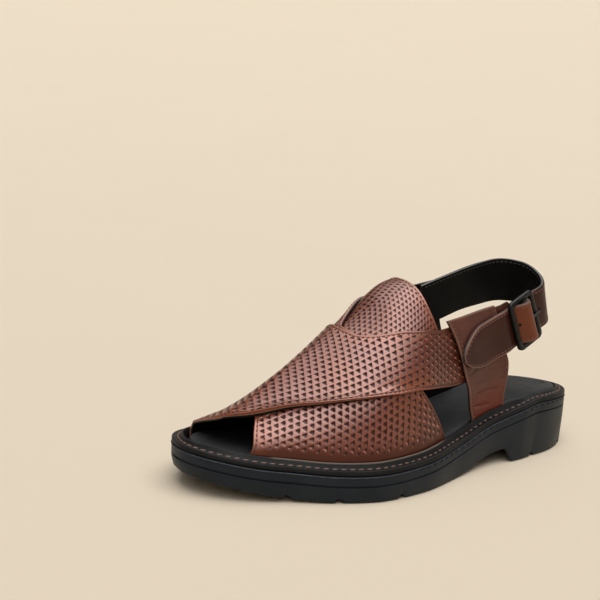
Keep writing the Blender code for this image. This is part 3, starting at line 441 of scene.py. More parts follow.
@dataclass(frozen=True)
class Last:
    """The foot form that the leather lies on."""

    sole: SoleForm
    feather_inset: float = 0.0095
    leather_rise: float = 0.0030
    tuck: float = 0.0056
    tuck_turn: float = 0.1
    girth_samples: tuple[int, int] = (150, 201)
    girth_span: tuple[float, float] = (0.070, 0.287)
    feather_span: tuple[float, float] = (0.004, 0.996)
    feather_stations: int = 260
    step_along: float = 0.0004
    step_turn: float = 0.004
    side_top: float = 0.98

    @cached_property
    def feather(self) -> Array:
        """Loop in plan where the leather's inner face meets the sole."""
        return self.sole.loop(np.linspace(*self.feather_span, self.feather_stations), self.feather_inset)

    def feather_y(self, x: Array, side: int) -> Array:
        """Find the leather's inner face where it meets the sole.

        Args:
            x: Distance from the heel.
            side: +1 for the outer side, -1 for the inner side.

        Returns:
            The feather line's y.
        """
        count = len(self.feather) // 2 + 1
        half = self.feather[:count] if side > 0 else self.feather[count - 1 :]
        order = np.argsort(half[:, 0])
        return np.interp(x, half[order, 0], half[order, 1])

    def point(self, x: Array, turn: Array) -> Array:
        """Point of the last's surface.

        Args:
            x: Distance from the heel.
            turn: 0 on the outer feather line, 0.5 on the ridge, 1 on the inner feather line; past
                either end the surface drops into the slot beside the insole.

        Returns:
            Points, with the coordinates on the last axis.
        """
        station = x / self.sole.length
        ridge_y = follow(LAST, "ridge_y", station)
        ridge_z = follow(LAST, "ridge_z", station)
        angle = np.pi * np.clip(turn, 0, 1)
        feather = np.where(turn <= 0.5, self.feather_y(x, 1), self.feather_y(x, -1))
        base = self.sole.edge_z(x) + self.leather_rise
        share = np.where(turn <= 0.5, 1.0, follow(LAST, "inner_share", station))
        side_power = share * follow(LAST, "side_power", station)
        top_power = share * follow(LAST, "top_power", station)
        y = ridge_y + (feather - ridge_y) * np.abs(np.cos(angle)) ** side_power
        z = base + (ridge_z - base) * np.sin(angle) ** top_power
        beyond = np.clip(np.maximum(-turn, turn - 1), 0, None)
        return np.stack([x, y, z - beyond * self.tuck / self.tuck_turn], axis=-1)

    def at(self, x: Array, turn: Array, lift: Array) -> Array:
        """Find a point outside the last's surface, along its normal.

        Args:
            x: Distance from the heel.
            turn: Turn round the last.
            lift: Distance outside the surface.

        Returns:
            Points, with the coordinates on the last axis.
        """
        along = self.point(x + self.step_along, turn) - self.point(x - self.step_along, turn)
        around = self.point(x, turn + self.step_turn) - self.point(x, turn - self.step_turn)
        outward = unit(np.cross(around, along))
        return self.point(x, turn) + outward * np.broadcast_to(lift, np.shape(x))[..., None]

    def side_y(self, x: Array, z: Array, side: int) -> Array:
        """Find the last's side at a height.

        Args:
            x: Distance from the heel.
            z: Height over the floor.
            side: +1 for the outer side, -1 for the inner side.

        Returns:
            The surface's y.
        """
        station = x / self.sole.length
        base = self.sole.edge_z(x) + self.leather_rise
        ridge_z = follow(LAST, "ridge_z", station)
        ridge_y = follow(LAST, "ridge_y", station)
        share = 1.0 if side > 0 else follow(LAST, "inner_share", station)
        risen = np.clip((z - base) / (ridge_z - base), 0, self.side_top)
        angle = np.arcsin(risen ** (1 / (share * follow(LAST, "top_power", station))))
        reach = np.cos(angle) ** (share * follow(LAST, "side_power", station))
        return ridge_y + (self.feather_y(x, side) - ridge_y) * reach

    @cached_property
    def girths(self) -> tuple[Array, Array]:
        """Measure the last once, for girth.

        Returns:
            Places along x, and at each the lengths round the last at even turns.
        """
        count, turns = self.girth_samples
        x = np.linspace(*self.girth_span, count)
        turn = np.linspace(0, 1, turns)
        grid = self.point(*np.meshgrid(x, turn, indexing="ij"))
        return x, lengths(grid, 1)

    def girth(self, x: Array, turn: Array) -> Array:
        """Find the length round the last from its outer feather line.

        Args:
            x: Distance from the heel.
            turn: Turn up to which the length runs.

        Returns:
            The length.
        """
        places, table = self.girths
        row = np.clip((x - places[0]) / (places[1] - places[0]), 0, len(places) - 1.001)
        column = np.clip(turn, 0, 1) * (table.shape[1] - 1.001)
        i = row.astype(int)
        j = column.astype(int)
        p = row - i
        q = column - j
        low = table[i, j] * (1 - q) + table[i, j + 1] * q
        high = table[i + 1, j] * (1 - q) + table[i + 1, j + 1] * q
        beyond = np.clip(turn - 1, 0, None) - np.clip(-turn, 0, None)
        return low * (1 - p) + high * p + beyond * self.tuck / self.tuck_turn


def new_object(name: str, bm: bmesh.types.BMesh, sharp: float = 40.0) -> bpy.types.Object:
    """Turn a bmesh in the shoe's frame into an object of the scene, shaded smooth.

    Args:
        name: The piece's name.
        bm: The mesh, which is freed.
        sharp: Angle in degrees over which an edge stays sharp.

    Returns:
        The object, at the origin with its place in its mesh.
    """
    bmesh.ops.translate(bm, vec=Vector(ORIGIN), verts=bm.verts)
    mesh = bpy.data.meshes.new(name)
    bm.to_mesh(mesh)
    bm.free()
    mesh.shade_smooth()
    mesh.set_sharp_from_angle(angle=math.radians(sharp))
    made = bpy.data.objects.new(name, mesh)
    bpy.context.scene.collection.objects.link(made)
    return made


def grid_cells(bm: bmesh.types.BMesh, cells: tuple[int, int]) -> list:
    """Make a flat grid and give the row and column of each of its vertices."""
    bmesh.ops.create_grid(bm, x_segments=cells[0], y_segments=cells[1], size=0.5)
    return [(round((v.co.x + 0.5) * cells[0]), round((v.co.y + 0.5) * cells[1])) for v in bm.verts]


def shell(name: str, top: Array, bottom: Array, values: dict[str, Array]) -> bpy.types.Object:
    """Make a closed sheet of leather from its two faces.

    Args:
        name: The piece's name.
        top: Outer face, an array (rows, columns, 3).
        bottom: Inner face, which may have fewer rows and columns.
        values: Arrays (rows, columns) over the outer face, kept on the piece as named attributes.

    Returns:
        The object; its faces take material 0 outside, 1 inside and 2 on the edge, and its attribute
        outside is 1 on the outer face and 0 on the inner one.
    """
    bm = bmesh.new()
    outside = bm.verts.layers.float.new("outside")
    kept = {key: bm.verts.layers.float.new(key) for key in values}
    for index, face in enumerate((bottom, top)):
        cells = (face.shape[0] - 1, face.shape[1] - 1)
        made = bmesh.ops.create_grid(bm, x_segments=cells[0], y_segments=cells[1], size=0.5)["verts"]
        for vertex in made:
            i = round((vertex.co.x + 0.5) * cells[0])
            j = round((vertex.co.y + 0.5) * cells[1])
            vertex.co = face[i, j]
            vertex[outside] = index
            for key, layer in kept.items() if index else ():
                vertex[layer] = values[key][i, j]
        if not index:
            for item in bm.faces:
                item.material_index = 1
    rim = bmesh.ops.bridge_loops(bm, edges=[edge for edge in bm.edges if edge.is_boundary])
    for item in rim["faces"]:
        item.material_index = 2
    bmesh.ops.recalc_face_normals(bm, faces=bm.faces)
    return new_object(name, bm)


def wrapped(rings: Array, wrap_rows: bool, values: dict[str, Array] | None = None) -> bmesh.types.BMesh:
    """Make a closed body from rings of points.

    Args:
        rings: Array (rows, n, 3); each row is a closed ring.
        wrap_rows: Join the last row to the first; otherwise the end rows have met themselves.
        values: Arrays (rows, n) kept on the body as named attributes.

    Returns:
        The body, its faces outwards.
    """
    rows, count = rings.shape[:2]
    bm = bmesh.new()
    kept = {key: bm.verts.layers.float.new(key) for key in values or {}}
    places = grid_cells(bm, (count, rows if wrap_rows else rows - 1))
    for vertex, (i, j) in zip(bm.verts, places):
        vertex.co = rings[j % rows, i % count]
        for key, layer in kept.items():
            vertex[layer] = values[key][j % rows, i % count]
    bmesh.ops.remove_doubles(bm, verts=bm.verts, dist=2e-6)
    bmesh.ops.dissolve_degenerate(bm, edges=bm.edges, dist=1e-7)
    bmesh.ops.recalc_face_normals(bm, faces=bm.faces)
    return bm


def tube(path: Array, radii: Array, segments: int) -> bmesh.types.BMesh:
    """Make a round rod along a path, closed at both ends.

    Args:
        path: Points (n, 3).
        radii: Radius at each point; an end of radius 0 closes to a point.
        segments: Points round the rod.

    Returns:
        The rod.
    """
    tangent = unit(np.gradient(path, axis=0))
    side = unit(np.cross(tangent, np.array(ASKEW)))
    other = np.cross(tangent, side)
    angle = np.linspace(0, 2 * math.pi, segments, endpoint=False)
    ring = np.cos(angle)[None, :, None] * side[:, None] + np.sin(angle)[None, :, None] * other[:, None]
    rings = path[:, None] + ring * np.asarray(radii)[:, None, None]
    return wrapped(rings, wrap_rows=False)


@dataclass(frozen=True)
class Thread:
    """A row of stitches: their pitch, length, thickness, how deep they sit and how far they slant."""

    pitch: float = 0.0030
    length: float = 0.0023
    radius: float = 0.00034
    sink: float = 0.00008
    slant: float = 0.0
    segments: tuple[int, int] = (6, 5)

    def sew(self, bm: bmesh.types.BMesh, path: Array, normals: Array) -> None:
        """Lay stitches along a path on a surface.

        Args:
            bm: Mesh that takes the stitches.
            path: Points (n, 3) along the seam.
            normals: The surface's outward direction at each of them.
        """
        run = lengths(path, 0)
        count = max(int(run[-1] / self.pitch), 1)
        at = (np.arange(count) + 0.5) * run[-1] / count
        half = self.length / 2
        spots = np.stack([np.interp(at, run, path[:, k]) for k in range(3)], axis=1)
        ahead = np.stack([np.interp(at + half, run, path[:, k]) for k in range(3)], axis=1)
        behind = np.stack([np.interp(at - half, run, path[:, k]) for k in range(3)], axis=1)
        out = unit(np.stack([np.interp(at, run, normals[:, k]) for k in range(3)], axis=1))
        for spot, direction, up in zip(spots, unit(ahead - behind), out):
            across = unit(np.cross(up, direction))
            direction = np.cross(across, up)
            turned = math.cos(self.slant) * direction + math.sin(self.slant) * across
            across = np.cross(up, turned)
            place = Matrix.Identity(4)
            centre = spot - up * self.sink
            columns = (turned * half, across * self.radius, up * self.radius, centre)
            for k, axis in enumerate(columns):
                for r in range(3):
                    place[r][k] = axis[r]
            around, over = self.segments
            bmesh.ops.create_uvsphere(bm, u_segments=around, v_segments=over, radius=1.0, matrix=place)

    def sew_on(
        self,
        bm: bmesh.types.BMesh,
        surface: Callable[[Array, Array, Array], Array],
        places: tuple[Array, Array],
        lift: float,
        probe: float = PROBE,
    ) -> None:
        """Lay stitches on a sheet.

        Args:
            bm: Mesh that takes the stitches.
            surface: The sheet's surface, a function of two places and the lift.
            places: The seam's two places at each of its points.
            lift: Lift of the face that is sewn.
            probe: Step off that face, to find its outward direction.
        """
        face = np.full_like(places[0], lift)
        path = surface(*places, face)
        self.sew(bm, path, unit(surface(*places, face + probe) - path))


class Graph:
    """A material and short calls to add nodes to it."""

    def __init__(self, name: str) -> None:
        """Make an empty material with a Principled shader.

        Args:
            name: The material's name.
        """
        self.material = bpy.data.materials.new(name)
        self.material.use_nodes = True
        self.tree = self.material.node_tree
        self.shader = self.tree.nodes["Principled BSDF"]

    def node(self, kind: str, settings: dict, sockets: dict) -> bpy.types.Node:
        """Add a node.

        Args:
            kind: Node type.
            settings: The node's own properties.
            sockets: Inputs by name or number, each a value or another node's output.

        Returns:
            The node.
        """
        made = self.tree.nodes.new(kind)
        for key, value in settings.items():
            setattr(made, key, value)
        for key, value in sockets.items():
            self.put(made.inputs[key], value)
        return made

    def put(self, socket: bpy.types.NodeSocket, value: object) -> None:
        """Set an input to a value, or link another node's output to it.

        Args:
            socket: The input.
            value: A value, or an output.
        """
        if isinstance(value, bpy.types.NodeSocket):
            self.tree.links.new(value, socket)
        else:
            socket.default_value = value

    def place(self, scale: Colour) -> bpy.types.NodeSocket:
        """Add object coordinates.

        Args:
            scale: Stretch in each direction.

        Returns:
            The coordinates.
        """
        source = self.node("ShaderNodeTexCoord", {}, {})
        mapped = self.node("ShaderNodeMapping", {}, {"Vector": source.outputs["Object"], "Scale": scale})
        return mapped.outputs["Vector"]

    def noise(
        self, scale: float, detail: float, rough: float, stretch: Colour = PLAIN
    ) -> bpy.types.NodeSocket:
        """Noise of about 0 to 1 in object coordinates."""
        sockets = {"Vector": self.place(stretch), "Scale": scale, "Detail": detail, "Roughness": rough}
        return self.node("ShaderNodeTexNoise", {}, sockets).outputs["Fac"]

    def cells(self, scale: float) -> bpy.types.NodeSocket:
        """Add small leather cells.

        Args:
            scale: Their scale.

        Returns:
            Distance to the edge of a cell.
        """
        sockets = {"Vector": self.place(PLAIN), "Scale": scale}
        made = self.node("ShaderNodeTexVoronoi", {"feature": "DISTANCE_TO_EDGE"}, sockets)
        return made.outputs["Distance"]

    def attribute(self, name: str) -> bpy.types.NodeSocket:
        """A value kept on the mesh."""
        return self.node("ShaderNodeAttribute", {"attribute_name": name}, {}).outputs["Fac"]

    def spread(self, value: bpy.types.NodeSocket, span: tuple, onto: tuple) -> bpy.types.NodeSocket:
        """Move a value from one span onto another, held to its ends."""
        sockets = {0: value, 1: span[0], 2: span[1], 3: onto[0], 4: onto[1]}
        return self.node("ShaderNodeMapRange", {}, sockets).outputs["Result"]

    def times(self, one: bpy.types.NodeSocket, other: bpy.types.NodeSocket) -> bpy.types.NodeSocket:
        """Multiply two values."""
        return self.node("ShaderNodeMath", {"operation": "MULTIPLY"}, {0: one, 1: other}).outputs["Value"]

    def mix(self, share: object, low: object, high: object) -> bpy.types.NodeSocket:
        """Mix two colours.

        Args:
            share: Share of the second colour.
            low: First colour.
            high: Second colour.

        Returns:
            The mixed colour.
        """
        made = self.node("ShaderNodeMix", {"data_type": "RGBA"}, {"Factor": share})
        colours = [socket for socket in made.inputs if socket.type == "RGBA"]
        for socket, value in zip(colours, (low, high)):
            self.put(socket, value)
        return [socket for socket in made.outputs if socket.type == "RGBA"][0]

    def two_tone(
        self, noise: bpy.types.NodeSocket, span: tuple, dark: Colour, light: Colour
    ) -> bpy.types.NodeSocket:
        """Mix a dark and a light tone as a noise passes a span."""
        return self.mix(self.spread(noise, span, WHOLE), rgba(dark), rgba(light))

    def bump(
        self, height: object, strength: float, reach: float, under: object = None
    ) -> bpy.types.NodeSocket:
        """Add a bump.

        Args:
            height: Height that makes the bump.
            strength: Its strength.
            reach: Its distance.
            under: Another bump to lay it on.

        Returns:
            The normal.
        """
        sockets = {"Height": height, "Strength": strength, "Distance": reach}
        if under is not None:
            sockets["Normal"] = under
        return self.node("ShaderNodeBump", {}, sockets).outputs["Normal"]

    def finish(
        self, colour: object, roughness: object, normal: object, **others: object
    ) -> bpy.types.Material:
        """Connect the shader.

        Args:
            colour: Base colour.
            roughness: Roughness.
            normal: Output of a bump.
            others: Further shader inputs by name, with underscores for spaces.

        Returns:
            The material.
        """
        self.put(self.shader.inputs["Base Color"], colour)
        self.put(self.shader.inputs["Roughness"], roughness)
        self.put(self.shader.inputs["Normal"], normal)
        for key, value in others.items():
            self.put(self.shader.inputs[key.replace("_", " ")], value)
        return self.material


def rgba(colour: Colour) -> tuple:
    """Add a full alpha to a colour."""
    return (*colour, 1.0)


@dataclass(frozen=True)
class EmbossedLeather:
    """Polished brown leather whose pressed pits are darker than its flat top as painted shade, warmer near
    the edges; where it faces away from the light it is painted as shade, and there the upturned faces of its
    pits carry a painted highlight.
    """

    name: str
    top: Colour = (0.150, 0.033, 0.018)
    # pit: painted shade, the near-black that fills the pressed recesses
    pit: Colour = (0.016, 0.0024, 0.0013)
    warm: Colour = (0.225, 0.054, 0.018)
    # deep: painted shade, the dark red that the flat top takes where the strap faces away from the light
    deep: Colour = (0.038, 0.0068, 0.0034)
    sheen: Colour = (1.0, 0.68, 0.60)
    roughness: tuple[float, float] = (0.31, 0.38)
    coat: tuple[float, float] = (0.30, 0.0)
    gloss: float = 1.0
    pit_gloss: float = 0.30
    shaded_gloss: tuple[float, float] = (0.40, 0.42)
    # painted highlight on the faces of the pits that look up, in the zones painted as shade
    painted_facet_highlight: Colour = (0.540, 0.205, 0.140)
    pit_edge: tuple[float, float] = (-0.15, -0.02)
    painted_shade_share: float = 0.85
    edge_burnish_and_light_share: float = 0.8
    coat_roughness: float = 0.28

    def make(self) -> bpy.types.Material:
        """Make the material.

        Returns:
            The material.
        """
        graph = Graph(self.name)
        height = graph.spread(graph.attribute("relief"), self.pit_edge, WHOLE)
        painted_shade = graph.attribute("painted_shade")
        # less gloss and coat where the strap is painted as shade, and along the ridge towards the toe
        matt_shade_and_ridge = graph.attribute("matt_shade_and_ridge")
        lit = graph.spread(height, WHOLE, (self.pit_gloss, self.gloss))
        shaded = graph.spread(height, WHOLE, self.shaded_gloss)
        broad = graph.noise(30.0, 3.0, 0.5)
        top = graph.mix(graph.spread(broad, (0.42, 0.68), (0.0, 0.7)), rgba(self.top), rgba(self.warm))
        # painted shade: the top darkens towards deep where the strap faces away from the light
        top = graph.mix(graph.spread(painted_shade, WHOLE, (0.0, self.painted_shade_share)), top, rgba(self.deep))
        # warm edges: a burnish near the edges whose strength is painted light, full where the strap is lit
        # and faint in its painted shade, plus the ridge's warmer colour
        worn = graph.spread(graph.attribute("near_edge"), WHOLE, (0.0, self.edge_burnish_and_light_share))
        # painted shade in the recesses: the pits take the near-black pit colour
        colour = graph.mix(height, rgba(self.pit), graph.mix(worn, top, rgba(self.warm)))
        # painted highlight: the pits' upturned faces turn bright where the strap is painted as shade
        colour = graph.mix(graph.attribute("painted_facet_highlight"), colour, rgba(self.painted_facet_highlight))
        fine = graph.noise(2200.0, 3.0, 0.6)
        pores = graph.cells(1500.0)
        normal = graph.bump(fine, 0.12, 0.0003, graph.bump(pores, 0.10, 0.0003))
        rough = graph.spread(height, WHOLE, (self.roughness[1], self.roughness[0]))
        shine = {
            "Specular_Tint": rgba(self.sheen),
            "Specular_IOR_Level": graph.spread(matt_shade_and_ridge, WHOLE, (lit, shaded)),
            "Coat_Weight": graph.times(graph.spread(matt_shade_and_ridge, WHOLE, self.coat), lit),
            "Coat_Roughness": self.coat_roughness,
        }
        return graph.finish(colour, rough, normal, **shine)


@dataclass(frozen=True)
class SmoothLeather:
    """Plain leather: two tones in a broad noise, fine grain, soft wrinkles, a painted highlight along the rim
    and worn places.
    """

    name: str
    dark: Colour
    light: Colour
    roughness: tuple[float, float] = (0.36, 0.50)
    coat: float = 0.15
    grain: float = 0.14
    grain_scale: float = 1100.0
    wrinkle: float = 0.05
    gloss: float = 0.4
    sheen: Colour = (1.0, 1.0, 1.0)
    # rim: painted highlight along the edges, laid on by the near_edge attribute
    rim: Colour | None = None
    worn: Colour | None = None
    coat_roughness: float = 0.35

    def make(self) -> bpy.types.Material:
        """Make the material.

        Returns:
            The material.
        """
        graph = Graph(self.name)
        broad = graph.noise(38.0, 4.0, 0.55)
        colour = graph.two_tone(broad, (0.35, 0.68), self.dark, self.light)
        # near_edge lays on the rim's painted highlight; worn lays on the worn places
        for key, tone in (("worn", self.worn), ("near_edge", self.rim)):
            if tone:
                colour = graph.mix(graph.attribute(key), colour, rgba(tone))
        pores = graph.cells(self.grain_scale)
        lines = graph.noise(210.0, 4.0, 0.6, (1.0, 1.0, 2.4))
        normal = graph.bump(pores, self.grain, 0.0004, graph.bump(lines, self.wrinkle, 0.002))
        rough = graph.spread(graph.noise(120.0, 3.0, 0.5), (0.3, 0.7), self.roughness)
        shine = {"Specular_IOR_Level": self.gloss, "Specular_Tint": rgba(self.sheen)}
        shine |= {"Coat_Weight": self.coat, "Coat_Roughness": self.coat_roughness}
        return graph.finish(colour, rough, normal, **shine)


@dataclass(frozen=True)
class CutEdge:
    """Raw edge of a lined strap: pale leather over a black lining."""

    name: str
    dark: Colour = (0.200, 0.115, 0.085)
    light: Colour = (0.330, 0.215, 0.165)
    lining: Colour = (0.004, 0.0035, 0.003)
    layer: tuple[float, float] = (0.68, 0.76)

    def make(self) -> bpy.types.Material:
        """Make the material.

        Returns:
            The material.
        """
        graph = Graph(self.name)
        fibres = graph.noise(900.0, 4.0, 0.6)
        colour = graph.two_tone(fibres, (0.35, 0.68), self.dark, self.light)
        leather = graph.spread(graph.attribute("outside"), self.layer, WHOLE)
        colour = graph.mix(leather, rgba(self.lining), colour)
        return graph.finish(colour, 0.62, graph.bump(fibres, 0.2, 0.0003), Specular_IOR_Level=0.25)


@dataclass(frozen=True)
class Rubber:
    """Black moulded rubber with a fine dusty bloom and a painted highlight along the bead's crest."""

    name: str
    dark: Colour = (0.0055, 0.0072, 0.0108)
    light: Colour = (0.0105, 0.0130, 0.0178)
    # painted highlight: the pale grey of the light line along the bead's crest
    bead_highlight: Colour = (0.0550, 0.0600, 0.0680)
    roughness: tuple[float, float] = (0.42, 0.56)
    gloss: float = 0.24
    sheen: Colour = (0.78, 0.92, 1.0)

    def make(self) -> bpy.types.Material:
        """Make the material.

        Returns:
            The material.
        """
        graph = Graph(self.name)
        bloom = graph.noise(45.0, 5.0, 0.6)
        colour = graph.two_tone(bloom, (0.35, 0.7), self.dark, self.light)
        # painted highlight along the bead's crest, broken up by a fine noise
        bead_glint = graph.spread(graph.noise(420.0, 3.0, 0.6), (0.42, 0.6), WHOLE)
        ridge = graph.times(bead_glint, graph.attribute("near_edge"))
        colour = graph.mix(ridge, colour, rgba(self.bead_highlight))
        fine = graph.noise(1600.0, 2.0, 0.5)
        normal = graph.bump(fine, 0.08, 0.0003)
        rough = graph.spread(bloom, (0.3, 0.7), self.roughness)
        shine = {"Specular_IOR_Level": self.gloss, "Specular_Tint": rgba(self.sheen)}
        return graph.finish(colour, rough, normal, **shine)


@dataclass(frozen=True)
class Fibre:
    """Twisted sewing thread."""

    name: str
    dark: Colour
    light: Colour

    def make(self) -> bpy.types.Material:
        """Make the material.

        Returns:
            The material.
        """
        graph = Graph(self.name)
        strands = graph.noise(2600.0, 2.0, 0.5, (1.0, 1.0, 0.5))
        colour = graph.two_tone(strands, (0.35, 0.65), self.dark, self.light)
        return graph.finish(colour, 0.62, graph.bump(strands, 0.25, 0.0002))


@dataclass(frozen=True)
class Enamel:
    """Black lacquered metal, a little worn."""

    name: str
    dark: Colour = (0.0022, 0.0025, 0.0024)
    light: Colour = (0.0060, 0.0066, 0.0062)
    gloss: float = 0.22

    def make(self) -> bpy.types.Material:
        """Make the material.

        Returns:
            The material.
        """
        graph = Graph(self.name)
        wear = graph.noise(160.0, 4.0, 0.6)
        colour = graph.two_tone(wear, (0.4, 0.7), self.dark, self.light)
        rough = graph.spread(wear, (0.3, 0.7), (0.26, 0.38))
        normal = graph.bump(graph.noise(900.0, 2.0, 0.5), 0.05, 0.0002)
        return graph.finish(colour, rough, normal, Specular_IOR_Level=self.gloss)


class Finish(Enum):
    """The sandal's finishes."""

    EMBOSSED = EmbossedLeather("embossed_brown")
    BROWN = SmoothLeather(
        "smooth_brown",
        (0.046, 0.0112, 0.0072),
        (0.085, 0.0225, 0.0145),
        coat=0.05,
        gloss=0.45,
        sheen=(1.0, 0.66, 0.56),
        # painted highlight along the edges
        rim=(0.150, 0.070, 0.050),
        worn=(0.110, 0.020, 0.0105),
    )
    TAN = SmoothLeather(
        "polished_brown",
        (0.019, 0.0044, 0.0026),
        (0.035, 0.0086, 0.0050),
        coat=0.05,
        gloss=0.24,
        sheen=(1.0, 0.66, 0.56),
        # painted highlight along the edges
        rim=(0.170, 0.082, 0.058),
        worn=(0.135, 0.038, 0.018),
    )
    EDGE = CutEdge("cut_edge")
    DARK_EDGE = SmoothLeather(
        "painted_edge", (0.006, 0.004, 0.0035), (0.015, 0.009, 0.0075), (0.5, 0.6), 0.0
    )
    GREY_EDGE = SmoothLeather(
        "grey_edge", (0.036, 0.031, 0.026), (0.062, 0.054, 0.046), (0.5, 0.6), 0.0
    )
    LINING = SmoothLeather(
        "black_lining", (0.0020, 0.0020, 0.0020), (0.0036, 0.0036, 0.0035), (0.5, 0.6), 0.0, gloss=0.1
    )
    INSOLE = SmoothLeather(
        "black_footbed", (0.0170, 0.0176, 0.0184), (0.0300, 0.0308, 0.0316), (0.5, 0.6), 0.0, gloss=0.12
    )
    WELT = SmoothLeather(
        "black_welt",
        (0.0034, 0.0034, 0.0036),
        (0.0085, 0.0082, 0.0080),
        (0.45, 0.6),
        0.0,
        gloss=0.16,
        # painted highlight along the crest of the lip
        rim=(0.150, 0.125, 0.098),
    )
    RUBBER = Rubber("black_rubber")
    BROWN_THREAD = Fibre("brown_thread", (0.020, 0.007, 0.005), (0.060, 0.022, 0.015))
    RUST_THREAD = Fibre("rust_thread", (0.070, 0.024, 0.013), (0.170, 0.066, 0.036))
    BLACK_THREAD = Fibre("black_thread", (0.020, 0.019, 0.018), (0.060, 0.055, 0.050))
    TAN_THREAD = Fibre("tan_thread", (0.075, 0.034, 0.020), (0.210, 0.108, 0.068))
    ENAMEL = Enamel("black_lacquer")

    @cached_property
    def material(self) -> bpy.types.Material:
        """The finish's material, made once."""
        return self.value.make()


def dress(piece: bpy.types.Object, slot: str, replaced: tuple[str, ...], *finishes: Finish) -> None:
    """Give a piece its materials and its place in the frame.

    Args:
        piece: The finished object.
        slot: Name of a material slot; not used.
        replaced: CAD nodes that it stands for.
        finishes: Its materials in order.
    """
    for finish in finishes:
        piece.data.materials.append(finish.material)
    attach(piece, "root")
    if replaced:
        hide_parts(*replaced)
    LOG.info("%s: %d faces", piece.name, len(piece.data.polygons))


@dataclass(frozen=True)
class Lattice:
    """Pressed pattern: columns of three-sided pits, every other column half a row on.

    The columns lean to the heel as they climb, the rows fall a little to the heel, and the leather is
    stretched, so that the columns stand wider apart towards the heel.
    """

    wide: float = 0.0048
    narrow: float = 0.0035
    stretched: tuple[float, float] = (0.165, 0.205)
    row: float = 0.0042
    lean: float = 0.10
    lean_forward: float = 3.0
    lean_up: float = 2.2
    slope: float = 0.26
    middle: float = 0.203
    flat: float = 0.21
    tip: float = 1.0
    half: float = 0.475
    depth: float = 0.00075
    lean_reach: float = 0.1
    ruler_span: tuple[float, float] = (0.05, 0.40)
    ruler_marks: int = 400

    def places(self, x: Array, girth: Array) -> tuple[Array, Array]:
        """Find the column and row of places on the last.

        Args:
            x: Distance from the heel.
            girth: Length round the last from its outer feather line.

        Returns:
            Column and row, as numbers that run on.
        """
        lean = self.lean + self.lean_forward * (x - self.middle)
        high = np.minimum(girth, self.lean_reach)
        u = x + lean * high + self.lean_up * high**2
        ruler = np.linspace(*self.ruler_span, self.ruler_marks)
        pitch = self.wide + (self.narrow - self.wide) * ease(ruler, *self.stretched)
        columns = np.cumsum(1 / pitch) * (ruler[1] - ruler[0])
        return np.interp(u, ruler, columns), (girth - self.slope * (x - self.middle)) / self.row

    def relief(self, x: Array, girth: Array) -> Array:
        """Depth of the pits, 0 on the flat leather and -1 at their deepest.

        Args:
            x: Distance from the heel.
            girth: Length round the last from its outer feather line.

        Returns:
            The relief.
        """
        base, aside, _ = self.faces(x, girth)
        return -np.clip(np.minimum(base, aside), 0, 1)

    def upturned(self, x: Array, girth: Array) -> Array:
        """1 on the face of each pit that looks up, 0 elsewhere."""
        base, aside, below = self.faces(x, girth)
        return below * ease(base - aside, -0.1, 0.1) * ease(aside, 0.02, 0.2)

    def faces(self, x: Array, girth: Array) -> tuple[Array, Array, Array]:
        """Depths of the planes of a pit's faces.

        Args:
            x: Distance from the heel.
            girth: Length round the last from its outer feather line.

        Returns:
            Depth of the plane on the pit's wide side, depth of the planes of its two other sides, and 1 below
            the pit's middle, 0 above it.
        """
        column, row = self.places(x, girth)
        index = np.floor(column)
        a = column - index
        b = np.mod(row + 0.5 * np.mod(index, 2), 1) - 0.5
        high = self.tip - self.flat
        leg = math.hypot(high, self.half)
        inner = high * self.half / (self.half + leg)
        aside = (self.half * (self.tip - a) / high - np.abs(b)) * high / leg
        return (a - self.flat) / inner, aside / inner, 1 - ease(b, -0.06, 0.06)


